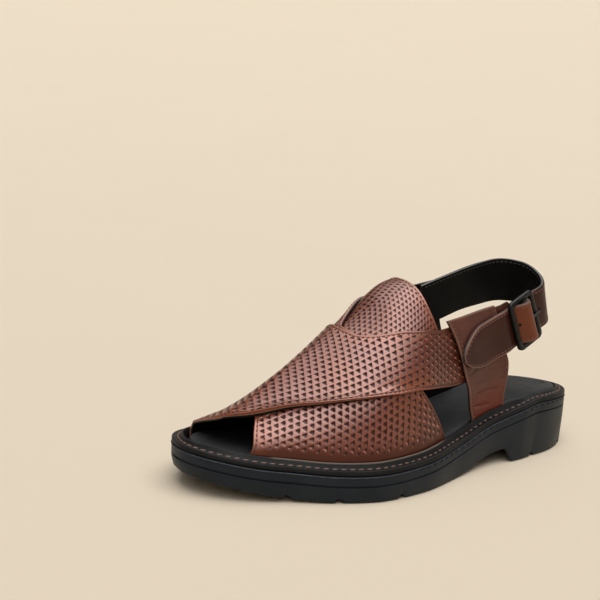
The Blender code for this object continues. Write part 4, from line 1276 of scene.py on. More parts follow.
@dataclass(frozen=True)
class CrossedStraps:
    """The upper: two wide straps of embossed leather, the outer one over the inner one."""

    last: Last
    over_lattice: Lattice = Lattice()
    under_lattice: Lattice = Lattice(slope=0.03)
    thread: Thread = Thread()
    wall: float = 0.0019
    over_lift: float = 0.0022
    over_climb: tuple[float, float] = (0.130, 0.156)
    over_land: tuple[float, float] = (0.88, 0.985)
    front_swell: float = 2.0
    swell_start: tuple[float, float] = (0.165, 0.200)
    swell_end: tuple[float, float] = (0.240, 0.266)
    tucked: float = 0.08
    cells: tuple[int, int] = (440, 200)
    lining_cells: tuple[int, int] = (110, 50)
    rim: tuple[float, float] = (0.0022, 0.0034)
    foot: tuple[float, float] = (0.0030, 0.0065)
    seam: float = 0.0019
    seam_groove: float = 0.00025
    edge_round: float = 0.0007
    swell_across: tuple[float, float] = (0.82, 1.02)
    edge_bunching: float = 0.4
    over_lit: tuple[float, float] = (0.140, 0.176)
    under_lit: tuple[float, float] = (0.144, 0.190)
    foot_lit: tuple[float, float] = (0.002, 0.014)
    ridge_matt: float = 0.6
    ridge_turn: tuple[float, float] = (0.36, 0.48)
    ridge_from: tuple[float, float] = (0.20, 0.24)
    ridge_warmth: float = 0.8
    warm_rim: tuple[float, float] = (0.002, 0.012)
    warm_shaded: float = 0.25
    unsewn_rows: tuple[int, int] = (2, 22)

    def surface(self, sections: tuple, over: bool) -> Callable[[Array, Array, Array], Array]:
        """Surface of one strap.

        Args:
            sections: The strap's edges.
            over: True for the strap that starts on the outer side and lies on the other one.

        Returns:
            A function of the share along, the share across and the lift.
        """

        def place(along: Array, across: Array, lift: Array) -> Array:
            """Find a point of the strap.

            Args:
                along: Share along.
                across: Share across.
                lift: Distance outside its inner face.

            Returns:
                Points, with the coordinates on the last axis.
            """
            x, turn = self.spot(sections, along, across)
            if over:
                climb = ease(x, *self.over_climb)
                crossing = ease(x, *self.swell_start) * (1 - ease(x, *self.swell_end))
                lift = lift * (1 + self.front_swell * crossing * ease(across, *self.swell_across))
                lift = lift + self.over_lift * climb * (1 - ease(turn, *self.over_land))
            return self.last.at(x, turn if over else 1 - turn, lift)

        return place

    def spot(self, sections: tuple, along: Array, across: Array) -> tuple[Array, Array]:
        """Find a place of a strap on the last.

        Args:
            sections: The strap's edges.
            along: Share along.
            across: Share across.

        Returns:
            Distance from the heel and turn, counted from the side where the strap starts.
        """
        reach = along * (1 + self.tucked)
        x = follow(sections, "rear_x", reach) * (1 - across) + follow(sections, "front_x", reach) * across
        turn = follow(sections, "rear_turn", reach) * (1 - across)
        turn = turn + follow(sections, "front_turn", reach) * across
        return x, turn + np.clip(reach - 1, 0, None) / self.tucked * self.last.tuck_turn

    def build(self) -> None:
        """Build both straps and their seams."""
        seams = bmesh.new()
        for name, sections, over in (("over_strap", OVER_STRAP, True), ("under_strap", UNDER_STRAP, False)):
            lattice = self.over_lattice if over else self.under_lattice
            surface = self.surface(sections, over)
            along, across = even_grid(self.cells)
            across = across - self.edge_bunching * np.sin(4 * math.pi * across) / (4 * math.pi)
            run = lengths(surface(along, across, np.zeros_like(along)), 1)
            away = np.minimum(run, run[:, -1:] - run)
            x, turn = self.spot(sections, along, across)
            girth = self.last.girth(x, turn if over else 1 - turn)
            pressed = ease(away, *self.rim) * ease(girth, *self.foot)
            relief = lattice.relief(x, girth) * pressed
            lift = self.wall + lattice.depth * relief - rounded_edge(away, self.edge_round)
            lift = lift - seam_dent(away, self.seam, self.seam_groove)
            top = surface(along, across, lift)
            lining = even_grid(self.lining_cells)
            bottom = surface(*lining, np.zeros_like(lining[0]))
            if over:
                # lit falls to 0 where the strap turns away from the light, towards the heel and, on the under
                # strap, next to the welt; there its colour is painted shade
                lit = ease(x, *self.over_lit)
                # ridge towards the toe: painted warmer and given less gloss
                ridge = self.ridge_matt * ease(turn, *self.ridge_turn) * ease(x, *self.ridge_from)
            else:
                lit = ease(x, *self.under_lit) * ease(girth, *self.foot_lit)
                ridge = np.zeros_like(x)
            # the edge burnish is painted light: full where the strap is lit, a quarter of it where the strap
            # is painted as shade
            warmth = self.warm_shaded + (1 - self.warm_shaded) * lit
            values = {
                "relief": relief,
                "near_edge": np.maximum((1 - ease(away, *self.warm_rim)) * warmth, self.ridge_warmth * ridge),
                # painted shade where the light falls away
                "painted_shade": 1 - lit,
                # gloss drops where the leather is painted as shade, and on the ridge
                "matt_shade_and_ridge": np.maximum(1 - lit, ridge),
                # painted highlight on the pits' upturned faces, only where painted shade lies
                "painted_facet_highlight": lattice.upturned(x, girth) * (1 - lit) * pressed,
            }
            piece = shell(name, top, bottom, values)
            dress(piece, "embossed_leather", ("upper",), Finish.EMBOSSED, Finish.LINING, Finish.EDGE)
            sewn = slice(self.unsewn_rows[0], len(along) - self.unsewn_rows[1])
            for edge in (self.seam, -self.seam):
                at = seam_shares(run[sewn], across[sewn], edge)
                self.thread.sew_on(seams, surface, (along[sewn, 0], at), self.wall)
        dress(new_object("strap_seams", seams), "embossed_leather", (), Finish.BROWN_THREAD)


@dataclass(frozen=True)
class Tongue:
    """Domed flap under the crossing, pressed with the same pattern and sewn round its free edge."""

    last: Last
    lattice: Lattice = Lattice(0.0032, 0.0032, row=0.0043, lean=0.20, slope=0.44, depth=0.00055)
    thread: Thread = Thread()
    rear: float = 0.1425
    sweep: float = 0.0085
    front: float = 0.204
    turns: tuple[float, float] = (0.215, 0.785)
    puff: float = 0.0022
    puff_turn: tuple[float, float] = (0.06, 0.20)
    puff_end: tuple[float, float] = (0.150, 0.172)
    clear: float = 0.0009
    wall: float = 0.0018
    cells: tuple[int, int] = (160, 300)
    lining_cells: tuple[int, int] = (40, 75)
    rim: tuple[float, float] = (0.0024, 0.0036)
    seam: float = 0.0020
    seam_groove: float = 0.00025
    edge_round: float = 0.0007
    edge_bunching: float = 0.5
    warm_rim: tuple[float, float] = (0.002, 0.010)

    def surface(self, along: Array, across: Array, lift: Array) -> Array:
        """Find a point of the flap.

        Args:
            along: Share along, from the free edge.
            across: Share across.
            lift: Distance outside its outer face.

        Returns:
            Points, with the coordinates on the last axis.
        """
        x, turn = self.spot(along, across)
        middle = 1 - ease(np.abs(turn - 0.5), *self.puff_turn)
        puff = self.puff * middle * (1 - ease(x, *self.puff_end))
        return self.last.at(x, turn, puff - self.clear + lift)

    def spot(self, along: Array, across: Array) -> tuple[Array, Array]:
        """Find a place of the flap on the last.

        Args:
            along: Share along, from the free edge.
            across: Share across.

        Returns:
            Distance from the heel and turn.
        """
        rear = self.rear - self.sweep * (2 * across - 1) ** 2
        x = rear + along * (self.front - rear)
        return x, self.turns[0] + across * (self.turns[1] - self.turns[0])

    def build(self) -> None:
        """Build the flap and its seam."""
        along, across = even_grid(self.cells)
        along = along - self.edge_bunching * np.sin(math.pi * along) / math.pi
        run = lengths(self.surface(along, across, np.zeros_like(along)), 0)
        x, turn = self.spot(along, across)
        relief = self.lattice.relief(x, self.last.girth(x, turn)) * ease(run, *self.rim)
        lift = self.lattice.depth * relief - rounded_edge(run, self.edge_round)
        lift = lift - seam_dent(run, self.seam, self.seam_groove)
        top = self.surface(along, across, lift)
        lining = even_grid(self.lining_cells)
        bottom = self.surface(*lining, np.full_like(lining[0], -self.wall))
        near = 1 - ease(run, *self.warm_rim)
        piece = shell("tongue_flap", top, bottom, {"relief": relief, "near_edge": near})
        dress(piece, "tongue_leather", ("tongue",), Finish.EMBOSSED, Finish.LINING, Finish.EDGE)
        sewn = slice(1, self.cells[1])
        at = seam_shares(run.T[sewn], along.T[sewn], self.seam)
        seams = bmesh.new()
        self.thread.sew_on(seams, self.surface, (at, across[0, sewn]), 0.0)
        dress(new_object("tongue_seam", seams), "tongue_leather", (), Finish.BROWN_THREAD)


@dataclass(frozen=True)
class Quarters:
    """The two smooth tabs beside the ankle."""

    last: Last
    thread: Thread = Thread(radius=0.00042)
    lift: float = 0.0028
    climb: tuple[float, float] = (0.012, 0.085)
    wall: float = 0.0020
    cells: tuple[int, int] = (90, 180)
    seam: float = 0.0024
    seam_groove: float = 0.0002
    edge_round: float = 0.0008
    lining_round: float = 0.0004
    side_bunching: float = 0.7
    top_bunching: float = 0.5
    worn_rise: tuple[float, float] = (0.012, 0.034)
    rim_highlight: tuple[float, float] = (0.0005, 0.0015)
    unsewn_columns: tuple[int, int] = (30, 4)
    creases: tuple[Crease, ...] = (
        Crease((0.10, 0.36), (0.95, 0.40), 0.00060, 0.0012),
        Crease((0.05, 0.44), (0.60, 0.47), 0.00045, 0.0011),
        Crease((0.45, 0.52), (1.00, 0.50), 0.00045, 0.0011),
        Crease((0.20, 0.30), (0.80, 0.33), 0.00050, 0.0009),
        Crease((0.35, 0.23), (0.95, 0.26), 0.00045, 0.0009),
        Crease((0.08, 0.57), (0.50, 0.60), 0.00030, 0.0012),
    )

    def surface(self, sections: tuple, outer: bool) -> Callable[[Array, Array, Array], Array]:
        """Surface of one quarter.

        Args:
            sections: The quarter's edges.
            outer: True for the quarter on the outer side.

        Returns:
            A function of the share along, the share up and the lift.
        """
        top = sections[-1].turn

        def place(along: Array, up: Array, lift: Array) -> Array:
            """Find a point of the quarter.

            Args:
                along: Share along, from the rear edge.
                up: Share up, from the tucked edge.
                lift: Distance outside its inner face.

            Returns:
                Points, with the coordinates on the last axis.
            """
            turn = -self.last.tuck_turn + up * (top + self.last.tuck_turn)
            x = follow(sections, "rear_x", turn) * (1 - along) + follow(sections, "front_x", turn) * along
            raised = self.lift * ease(turn, *self.climb)
            return self.last.at(x, turn if outer else 1 - turn, raised + lift)

        return place

    def build(self) -> None:
        """Build both quarters and their seams."""
        seams = bmesh.new()
        for side, sections in (("lateral", OUTER_QUARTER), ("medial", INNER_QUARTER)):
            surface = self.surface(sections, side == "lateral")
            along, up = even_grid(self.cells)
            along = along - self.side_bunching * np.sin(4 * math.pi * along) / (4 * math.pi)
            up = up + self.top_bunching * np.sin(math.pi * up) / math.pi * (1 - up)
            base = surface(along, up, np.zeros_like(along))
            run = lengths(base, 0)
            rise = lengths(base, 1)
            sides = np.minimum(run, run[-1:] - run)
            away = np.minimum(sides, rise[:, -1:] - rise)
            lift = self.wall - rounded_edge(away, self.edge_round) - crease_depth(base, self.creases)
            lift = lift - seam_dent(sides, self.seam, self.seam_groove)
            top = surface(along, up, lift)
            lining = rounded_edge(away[::2, ::2], self.lining_round)
            bottom = surface(along[::2, ::2], up[::2, ::2], lining)
            values = {
                # painted highlight along the quarter's edges
                "near_edge": 1 - ease(away, *self.rim_highlight),
                "worn": 1 - ease(rise, *self.worn_rise),
            }
            piece = shell(f"{side}_quarter", top, bottom, values)
            node = f"quarter_{side}"
            dress(piece, "quarter_leather", (node,), Finish.BROWN, Finish.LINING, Finish.DARK_EDGE)
            sewn = slice(self.unsewn_columns[0], len(up[0]) - self.unsewn_columns[1])
            for edge in (self.seam, -self.seam):
                at = seam_shares(run.T[sewn], along.T[sewn], edge)
                self.thread.sew_on(seams, surface, (at, up[0, sewn]), self.wall)
        dress(new_object("quarter_seams", seams), "quarter_leather", (), Finish.RUST_THREAD)


def crease_depth(base: Array, creases: tuple[Crease, ...]) -> Array:
    """Depth of the listed creases over a sheet.

    Args:
        base: Points of the sheet (rows, columns, 3).
        creases: The creases.

    Returns:
        Depth at each point.
    """
    rows = base.shape[0] - 1
    columns = base.shape[1] - 1
    depth = np.zeros(base.shape[:2])
    for crease in creases:
        ends = []
        for share_along, share_across in (crease.start, crease.stop):
            ends.append(base[round(share_along * rows), round(share_across * columns)])
        line = ends[1] - ends[0]
        t = np.clip(((base - ends[0]) @ line) / (line @ line), 0, 1)
        phase = CREASE_PHASE * crease.depth / crease.width
        bend = CREASE_BEND * np.sin(CREASE_WAVE * t + phase) * np.linalg.norm(line)
        nearest = ends[0] + t[..., None] * line
        nearest[..., 2] += bend * t * (1 - t)
        distance = np.linalg.norm(base - nearest, axis=-1)
        taper = ease(t, 0.0, CREASE_FADE) * (1 - ease(t, 1 - CREASE_FADE, 1.0))
        depth += crease.depth * taper * np.exp(-((distance / crease.width) ** 2))
    return depth


@dataclass(frozen=True)
class HeelStrap:
    """Strap from the inner quarter round the heel and through the buckle, with its black lining."""

    last: Last
    thread: Thread = Thread(pitch=0.0029, radius=0.00030)
    arc_centre: tuple[float, float] = (0.0552, 0.0030)
    arc_radius: float = 0.0232
    outer_yaw: float = math.radians(12.0)
    buckle_from_arc: float = 0.0139
    free_end: float = 0.058
    tip_round: float = 0.021
    tip_power: float = 1.7
    tip_blunt: float = 0.10
    tip_point: float = 0.66
    tip_drop: float = 0.0010
    inner_run: float = 0.0545
    inner_draped: float = 0.022
    free_draped: tuple[float, float] = (-0.0205, -0.0120)
    settles: tuple[float, float] = (0.013, 0.026)
    wall: float = 0.0022
    quarter_face: float = 0.0048
    weave_under: float = -0.0027
    weave_over: float = 0.0051
    weave_span: tuple[float, float] = (0.0006, 0.0090)
    cells: tuple[int, int] = (420, 56)
    seam: float = 0.0021
    lining_seam: float = 0.0019
    edge_round: float = 0.0005
    hole_radius: float = 0.0011
    hole_lift: float = 0.00004
    hole_sink: float = 0.00006
    hole_depth: float = 0.0003
    hole_taper: float = 0.85
    hole_sides: int = 20
    holes: tuple[float, ...] = (-0.0055, 0.0175, 0.0345)
    seam_groove: float = 0.0002
    lining_round: float = 0.0003
    free_gap: float = 0.0006
    inner_gap: float = 0.00015
    tip_away: float = 0.0002
    tip_level: float = 0.2
    tip_bunching: float = 0.8
    edge_bunching: float = 0.5
    rim_highlight: tuple[float, float] = (0.0005, 0.0015)
    rim_highlight_end: tuple[float, float] = (0.010, 0.020)
    worn_reach: tuple[float, float] = (0.008, 0.0105)
    tip_sewn: tuple[float, float] = (0.004, 0.0045)
    tip_points: int = 24
    seam_points: int = 400
    lining_points: int = 300
    lining_seam_end: float = 0.002
    step_along: float = 0.0005
    step_face: float = 0.0003

    @property
    def sweep(self) -> float:
        """Angle of the arc behind the heel."""
        return math.pi - self.outer_yaw

    @property
    def end(self) -> float:
        """Distance along from the buckle's bar to the inner end."""
        return self.buckle_from_arc + self.arc_radius * self.sweep + self.inner_run

    def axes(self, along: Array) -> tuple[Array, Array, Array, Array]:
        """Find the strap's own directions.

        Args:
            along: Distance along from the buckle's bar.

        Returns:
            Centre points, and the directions along, across (upwards) and outwards.
        """
        turned = np.clip((along - self.buckle_from_arc) / self.arc_radius, 0, self.sweep)
        angle = math.pi / 2 + self.outer_yaw + turned
        normal = np.stack([np.cos(angle), np.sin(angle)], axis=-1)
        direction = np.stack([-np.sin(angle), np.cos(angle)], axis=-1)
        straight = along - self.buckle_from_arc - turned * self.arc_radius
        plan = np.array(self.arc_centre) + self.arc_radius * normal + straight[..., None] * direction
        height = follow(HEEL_STRAP, "height", along)
        step = self.step_along
        climb = follow(HEEL_STRAP, "height", along + step) - follow(HEEL_STRAP, "height", along - step)
        lean = np.radians(follow(HEEL_STRAP, "lean", along))[..., None]
        centre = np.concatenate([plan, height[..., None]], axis=-1)
        forward = unit(np.concatenate([direction, climb[..., None] / (2 * step)], axis=-1))
        flat = np.concatenate([normal, np.zeros_like(height)[..., None]], axis=-1)
        upright = np.cross(flat, forward)
        upright = upright * np.sign(upright[..., 2:3])
        across = np.cos(lean) * upright - np.sin(lean) * flat
        return centre, forward, across, np.cos(lean) * flat + np.sin(lean) * upright

    def drape(self, points: Array, share: Array, side: int, lift: float) -> Array:
        """Move points sideways onto the last's side.

        Args:
            points: Points to move.
            share: Share of the way that they move.
            side: +1 for the outer side, -1 for the inner side.
            lift: Distance outside the last at the end of the way.

        Returns:
            The moved points.
        """
        target = self.last.side_y(points[..., 0], points[..., 2], side) + side * lift
        moved = points.copy()
        moved[..., 1] = points[..., 1] * (1 - share) + target * share
        return moved

    def middle(self, along: Array, across: Array) -> Array:
        """Find the middle of the strap's thickness.

        Args:
            along: Distance along from the buckle's bar.
            across: Distance across from the centre line.

        Returns:
            Points, with the coordinates on the last axis.
        """
        centre, _, up, outward = self.axes(along)
        dip = ease(np.abs(along), *self.weave_span)
        weave = self.weave_over + (self.weave_under - self.weave_over) * dip
        weave = weave * (1 - ease(along, *self.settles))
        points = centre + across[..., None] * up + weave[..., None] * outward
        free = self.quarter_face + self.free_gap + self.wall / 2
        points = self.drape(points, 1 - ease(along, *self.free_draped), 1, free)
        share = ease(along, self.end - self.inner_run, self.end - self.inner_draped)
        return self.drape(points, share, -1, self.wall / 2 + self.inner_gap)

    def surface(self, along: Array, across: Array, lift: Array) -> Array:
        """Find a point of the strap.

        Args:
            along: Distance along from the buckle's bar.
            across: Distance across from the centre line.
            lift: Distance outwards from the middle of its thickness.

        Returns:
            Points, with the coordinates on the last axis.
        """
        step = self.step_face
        forward = self.middle(along + step, across) - self.middle(along - step, across)
        up = self.middle(along, across + step) - self.middle(along, across - step)
        outward = unit(np.cross(up, forward))
        return self.middle(along, across) - outward * np.broadcast_to(lift, np.shape(along))[..., None]

    def half(self, along: Array) -> Array:
        """Find half the strap's width, which closes at its rounded free end.

        Args:
            along: Distance along from the buckle's bar.

        Returns:
            Half the width.
        """
        to_tip = np.clip(1 - (along + self.free_end) / self.tip_round, 0, 1)
        rounding = self.tip_blunt + (1 - self.tip_blunt) * (1 - to_tip**self.tip_power) ** self.tip_point
        return follow(HEEL_STRAP, "width", along) / 2 * rounding

    def drop(self, along: Array) -> Array:
        """How far the free end's tip sits below the strap's centre line."""
        level = ease(along + self.free_end, self.tip_level * self.tip_round, self.tip_round)
        return self.tip_drop * (1 - level)

    def build(self) -> None:
        """Build the strap, its seams and its punched holes."""
        t = np.linspace(0, 1, self.cells[0] + 1)
        t = t - self.tip_bunching * np.sin(math.pi * t) * (1 - t) ** 3 / math.pi
        run = -self.free_end + (self.end + self.free_end) * t
        side = np.linspace(-1, 1, self.cells[1] + 1)
        side = side + self.edge_bunching * np.sin(2 * math.pi * side) / (2 * math.pi)
        along, share = np.meshgrid(run, side, indexing="ij")
        across = share * self.half(along) - self.drop(along)
        base = self.middle(along, across)
        width = lengths(base, 1)
        away = np.minimum(width, width[:, -1:] - width)
        away = np.minimum(away, lengths(base, 0) + self.tip_away)
        lift = self.wall / 2 - rounded_edge(away, self.edge_round)
        lift = lift - seam_dent(away, self.seam, self.seam_groove)
        top = self.surface(along, across, lift)
        sunk = self.wall / 2 - rounded_edge(away, self.lining_round)
        bottom = self.surface(along, across, -sunk)
        values = {
            # painted highlight along the free end's edges
            "near_edge": (1 - ease(away, *self.rim_highlight)) * (1 - ease(along, *self.rim_highlight_end)),
            "worn": 1 - ease(np.abs(along), *self.worn_reach),
        }
        piece = shell("ankle_strap", top, bottom, values)
        dress(piece, "strap_leather", ("heel_strap",), Finish.TAN, Finish.LINING, Finish.GREY_EDGE)
        self.sew()
        self.punch()

    def sew(self) -> None:
        """Sew round the strap's outer face, and along its lining's upper edge."""
        outer = bmesh.new()
        inner = bmesh.new()
        tip = -self.free_end + self.seam
        bend, straight = self.tip_sewn
        close = tip + bend * np.linspace(0, 1, self.tip_points) ** 2
        run = np.concatenate([close, np.linspace(tip + straight, self.end, self.seam_points)])
        half = np.clip(self.half(run) - self.seam, 0.0, None)
        along = np.concatenate([run[::-1], run])
        across = np.concatenate([-half[::-1], half]) - self.drop(along)
        self.thread.sew_on(outer, self.surface, (along, across), self.wall / 2)
        run = np.linspace(self.settles[1], self.end - self.lining_seam_end, self.lining_points)
        across = self.half(run) - self.lining_seam
        self.thread.sew_on(inner, self.surface, (run, across), -self.wall / 2, -PROBE)
        dress(new_object("heel_strap_seam", outer), "strap_leather", (), Finish.RUST_THREAD)
        dress(new_object("lining_seam", inner), "strap_leather", (), Finish.BLACK_THREAD)

    def punch(self) -> None:
        """Mark the punched holes with thin dark discs set in the strap's outer face."""
        bm = bmesh.new()
        for place in self.holes:
            along = np.array([place])
            across = np.zeros(1)
            spot = self.surface(along, across, np.full(1, self.wall / 2 + self.hole_lift))[0]
            out = unit(spot - self.surface(along, across, np.zeros(1))[0])
            facing = Vector(out).to_track_quat("Z", "Y").to_matrix().to_4x4()
            bmesh.ops.create_cone(
                bm,
                cap_ends=True,
                segments=self.hole_sides,
                radius1=self.hole_radius,
                radius2=self.hole_radius * self.hole_taper,
                depth=self.hole_depth,
                matrix=Matrix.Translation(spot - out * self.hole_sink) @ facing,
            )
        dress(new_object("punched_holes", bm), "strap_leather", (), Finish.LINING)


@dataclass(frozen=True)
class Buckle:
    """Black lacquered frame with a centre bar, its prong, and the leather tab that holds it."""

    strap: HeelStrap
    along: float = 0.0250
    across: float = 0.0335
    bar: float = 0.0036
    thick: float = 0.0030
    corner: float = 0.0040
    corner_steps: int = 10
    centre_bar: float = 0.0014
    prong_radius: float = 0.0009
    prong_reach: float = 0.0133
    tab_wall: float = 0.0014
    tab_width: float = 0.0240
    tab_rise: float = 0.0042
    tab_rises: tuple[float, float] = (0.0050, 0.0075)
    section_points: int = 16
    squareness: float = 0.55
    bar_sides: int = 20
    bar_sunk: float = 1.2
    prong_gap: float = 0.0002
    rest_gap: float = 0.0003
    hook_turn: tuple[float, float] = (-60.0, 90.0)
    hook_points: int = 16
    shank_from: float = 0.15
    shank_points: int = 12
    shank_rise: tuple[float, ...] = (0.0, 0.004, 0.014)
    prong_taper: tuple[float, ...] = (0.95, 0.85, 0.7)
    prong_cap: float = 0.0003
    prong_sides: int = 14
    loop_gap: float = 0.00025
    loop_turn: tuple[float, float] = (165.0, -90.0)
    loop_points: int = 40
    lead: tuple[float, float] = (-0.0015, -0.036)
    lead_points: int = 60
    lead_reach: tuple[float, ...] = (0.0015, 0.003, 0.0062, 0.010, 0.015)
    lead_out: tuple[float, ...] = (-0.0024, -0.0030, -0.0043, -0.0052, -0.0055)
    tab_columns: int = 25
    tab_drapes: tuple[float, float] = (0.0110, 0.0200)
    tab_gap: float = 0.00015

    @property
    def matrix(self) -> Matrix:
        """Work out the buckle's own frame.

        Returns:
            Its place: x runs along the strap to the heel, y across it upwards, z outwards.
        """
        centre, forward, _, outward = self.strap.axes(np.array(0.0))
        made = Matrix.Identity(4)
        for column, axis in enumerate((forward, np.cross(outward, forward), outward, centre)):
            for row in range(3):
                made[row][column] = float(axis[row])
        return made

    def build(self) -> None:
        """Build frame, prong and tab."""
        self.build_frame()
        self.build_prong()
        self.build_tab()

    def build_frame(self) -> None:
        """Frame with rounded corners and a softly rounded section, and its centre bar."""
        profile = np.linspace(0, 2 * math.pi, self.section_points, endpoint=False)
        cosine = np.cos(profile)
        sine = np.sin(profile)
        aside = np.sign(cosine) * np.abs(cosine) ** self.squareness * self.bar / 2
        up = np.sign(sine) * np.abs(sine) ** self.squareness * self.thick / 2
        rings = []
        middle = self.corner - self.bar / 2
        for corner in range(4):
            x = (self.along / 2 - self.corner) * (1 if corner in (0, 3) else -1)
            y = (self.across / 2 - self.corner) * (1 if corner in (0, 1) else -1)
            for step in range(self.corner_steps + 1):
                angle = math.pi / 2 * (corner + step / self.corner_steps)
                reach = middle + aside
                rings.append(np.stack([x + math.cos(angle) * reach, y + math.sin(angle) * reach, up], axis=1))
        bm = wrapped(np.array(rings), wrap_rows=True)
        bmesh.ops.create_cone(
            bm,
            cap_ends=True,
            segments=self.bar_sides,
            radius1=self.centre_bar,
            radius2=self.centre_bar,
            depth=self.across - self.bar_sunk * self.bar,
            matrix=Matrix.Rotation(math.pi / 2, 4, "X"),
        )
        bmesh.ops.transform(bm, matrix=self.matrix, verts=bm.verts)
        dress(new_object("buckle_ring", bm), "buckle_metal", ("buckle_frame",), Finish.ENAMEL)

    def build_prong(self) -> None:
        """Prong hooked round the bar, rising over the strap's edge and resting on the rear bar."""
        radius = self.centre_bar + self.prong_gap + self.prong_radius
        rest = self.thick / 2 + self.rest_gap + self.prong_radius
        angle = np.radians(180 - np.linspace(*self.hook_turn, self.hook_points))
        hook = np.stack([radius * np.cos(angle), np.zeros_like(angle), radius * np.sin(angle)], axis=1)
        x = np.linspace(self.shank_from, 1.0, self.shank_points) * self.prong_reach
        z = np.interp(x, self.shank_rise, (radius, rest, rest))
        shank = np.stack([x, np.zeros_like(x), z], axis=1)
        path = np.concatenate([hook[:1], hook, shank, shank[-1:]])
        path[0, 2] -= self.prong_cap
        path[-1, 0] += self.prong_cap
        radii = np.full(len(path), self.prong_radius)
        radii[[0, -1]] = 0.0
        radii[-4:-1] = np.array(self.prong_taper) * self.prong_radius
        bm = tube(path, radii, self.prong_sides)
        bmesh.ops.transform(bm, matrix=self.matrix, verts=bm.verts)
        dress(new_object("prong", bm), "buckle_metal", ("buckle_prong",), Finish.ENAMEL)

    def build_tab(self) -> None:
        """Leather tab looped round the centre bar and laid under the outer quarter."""
        centre, forward, _, outward = self.strap.axes(np.zeros(1))
        upward = np.cross(outward, forward)
        radius = self.centre_bar + self.loop_gap + self.tab_wall / 2
        angle = np.radians(np.linspace(*self.loop_turn, self.loop_points))
        loop = np.stack([radius * np.cos(angle), radius * np.sin(angle)], axis=1)
        lead_x = np.linspace(*self.lead, self.lead_points)
        lead_out = np.interp(-lead_x, self.lead_reach, self.lead_out)
        flat = np.concatenate([loop, np.stack([lead_x, lead_out], axis=1)])
        leading = np.arange(len(flat)) >= self.loop_points
        side = np.linspace(-0.5, 0.5, self.tab_columns)[None] * self.tab_width
        wider = self.tab_rise * ease(-flat[:, :1], *self.tab_rises) * leading[:, None]
        side = side + np.clip(side, 0, None) / (self.tab_width / 2) * wider
        faces = []
        tangent = unit(np.gradient(flat, axis=0))
        normal = np.stack([tangent[:, 1], -tangent[:, 0]], axis=1)
        share = ease(-flat[:, 0], *self.tab_drapes) * leading
        for lift in (self.tab_wall / 2, -self.tab_wall / 2):
            moved = (flat - normal * lift)[:, None]
            points = centre + moved[..., :1] * forward + moved[..., 1:] * outward
            points = points + side[..., None] * upward
            deep = self.tab_wall / 2 + self.tab_gap - lift
            shares = np.broadcast_to(share[:, None], points.shape[:2])
            faces.append(self.strap.drape(points, shares, 1, deep))
        piece = shell("buckle_loop", faces[0], faces[1], {})
        dress(piece, "tab_leather", ("buckle_tab",), Finish.BROWN, Finish.BROWN, Finish.DARK_EDGE)


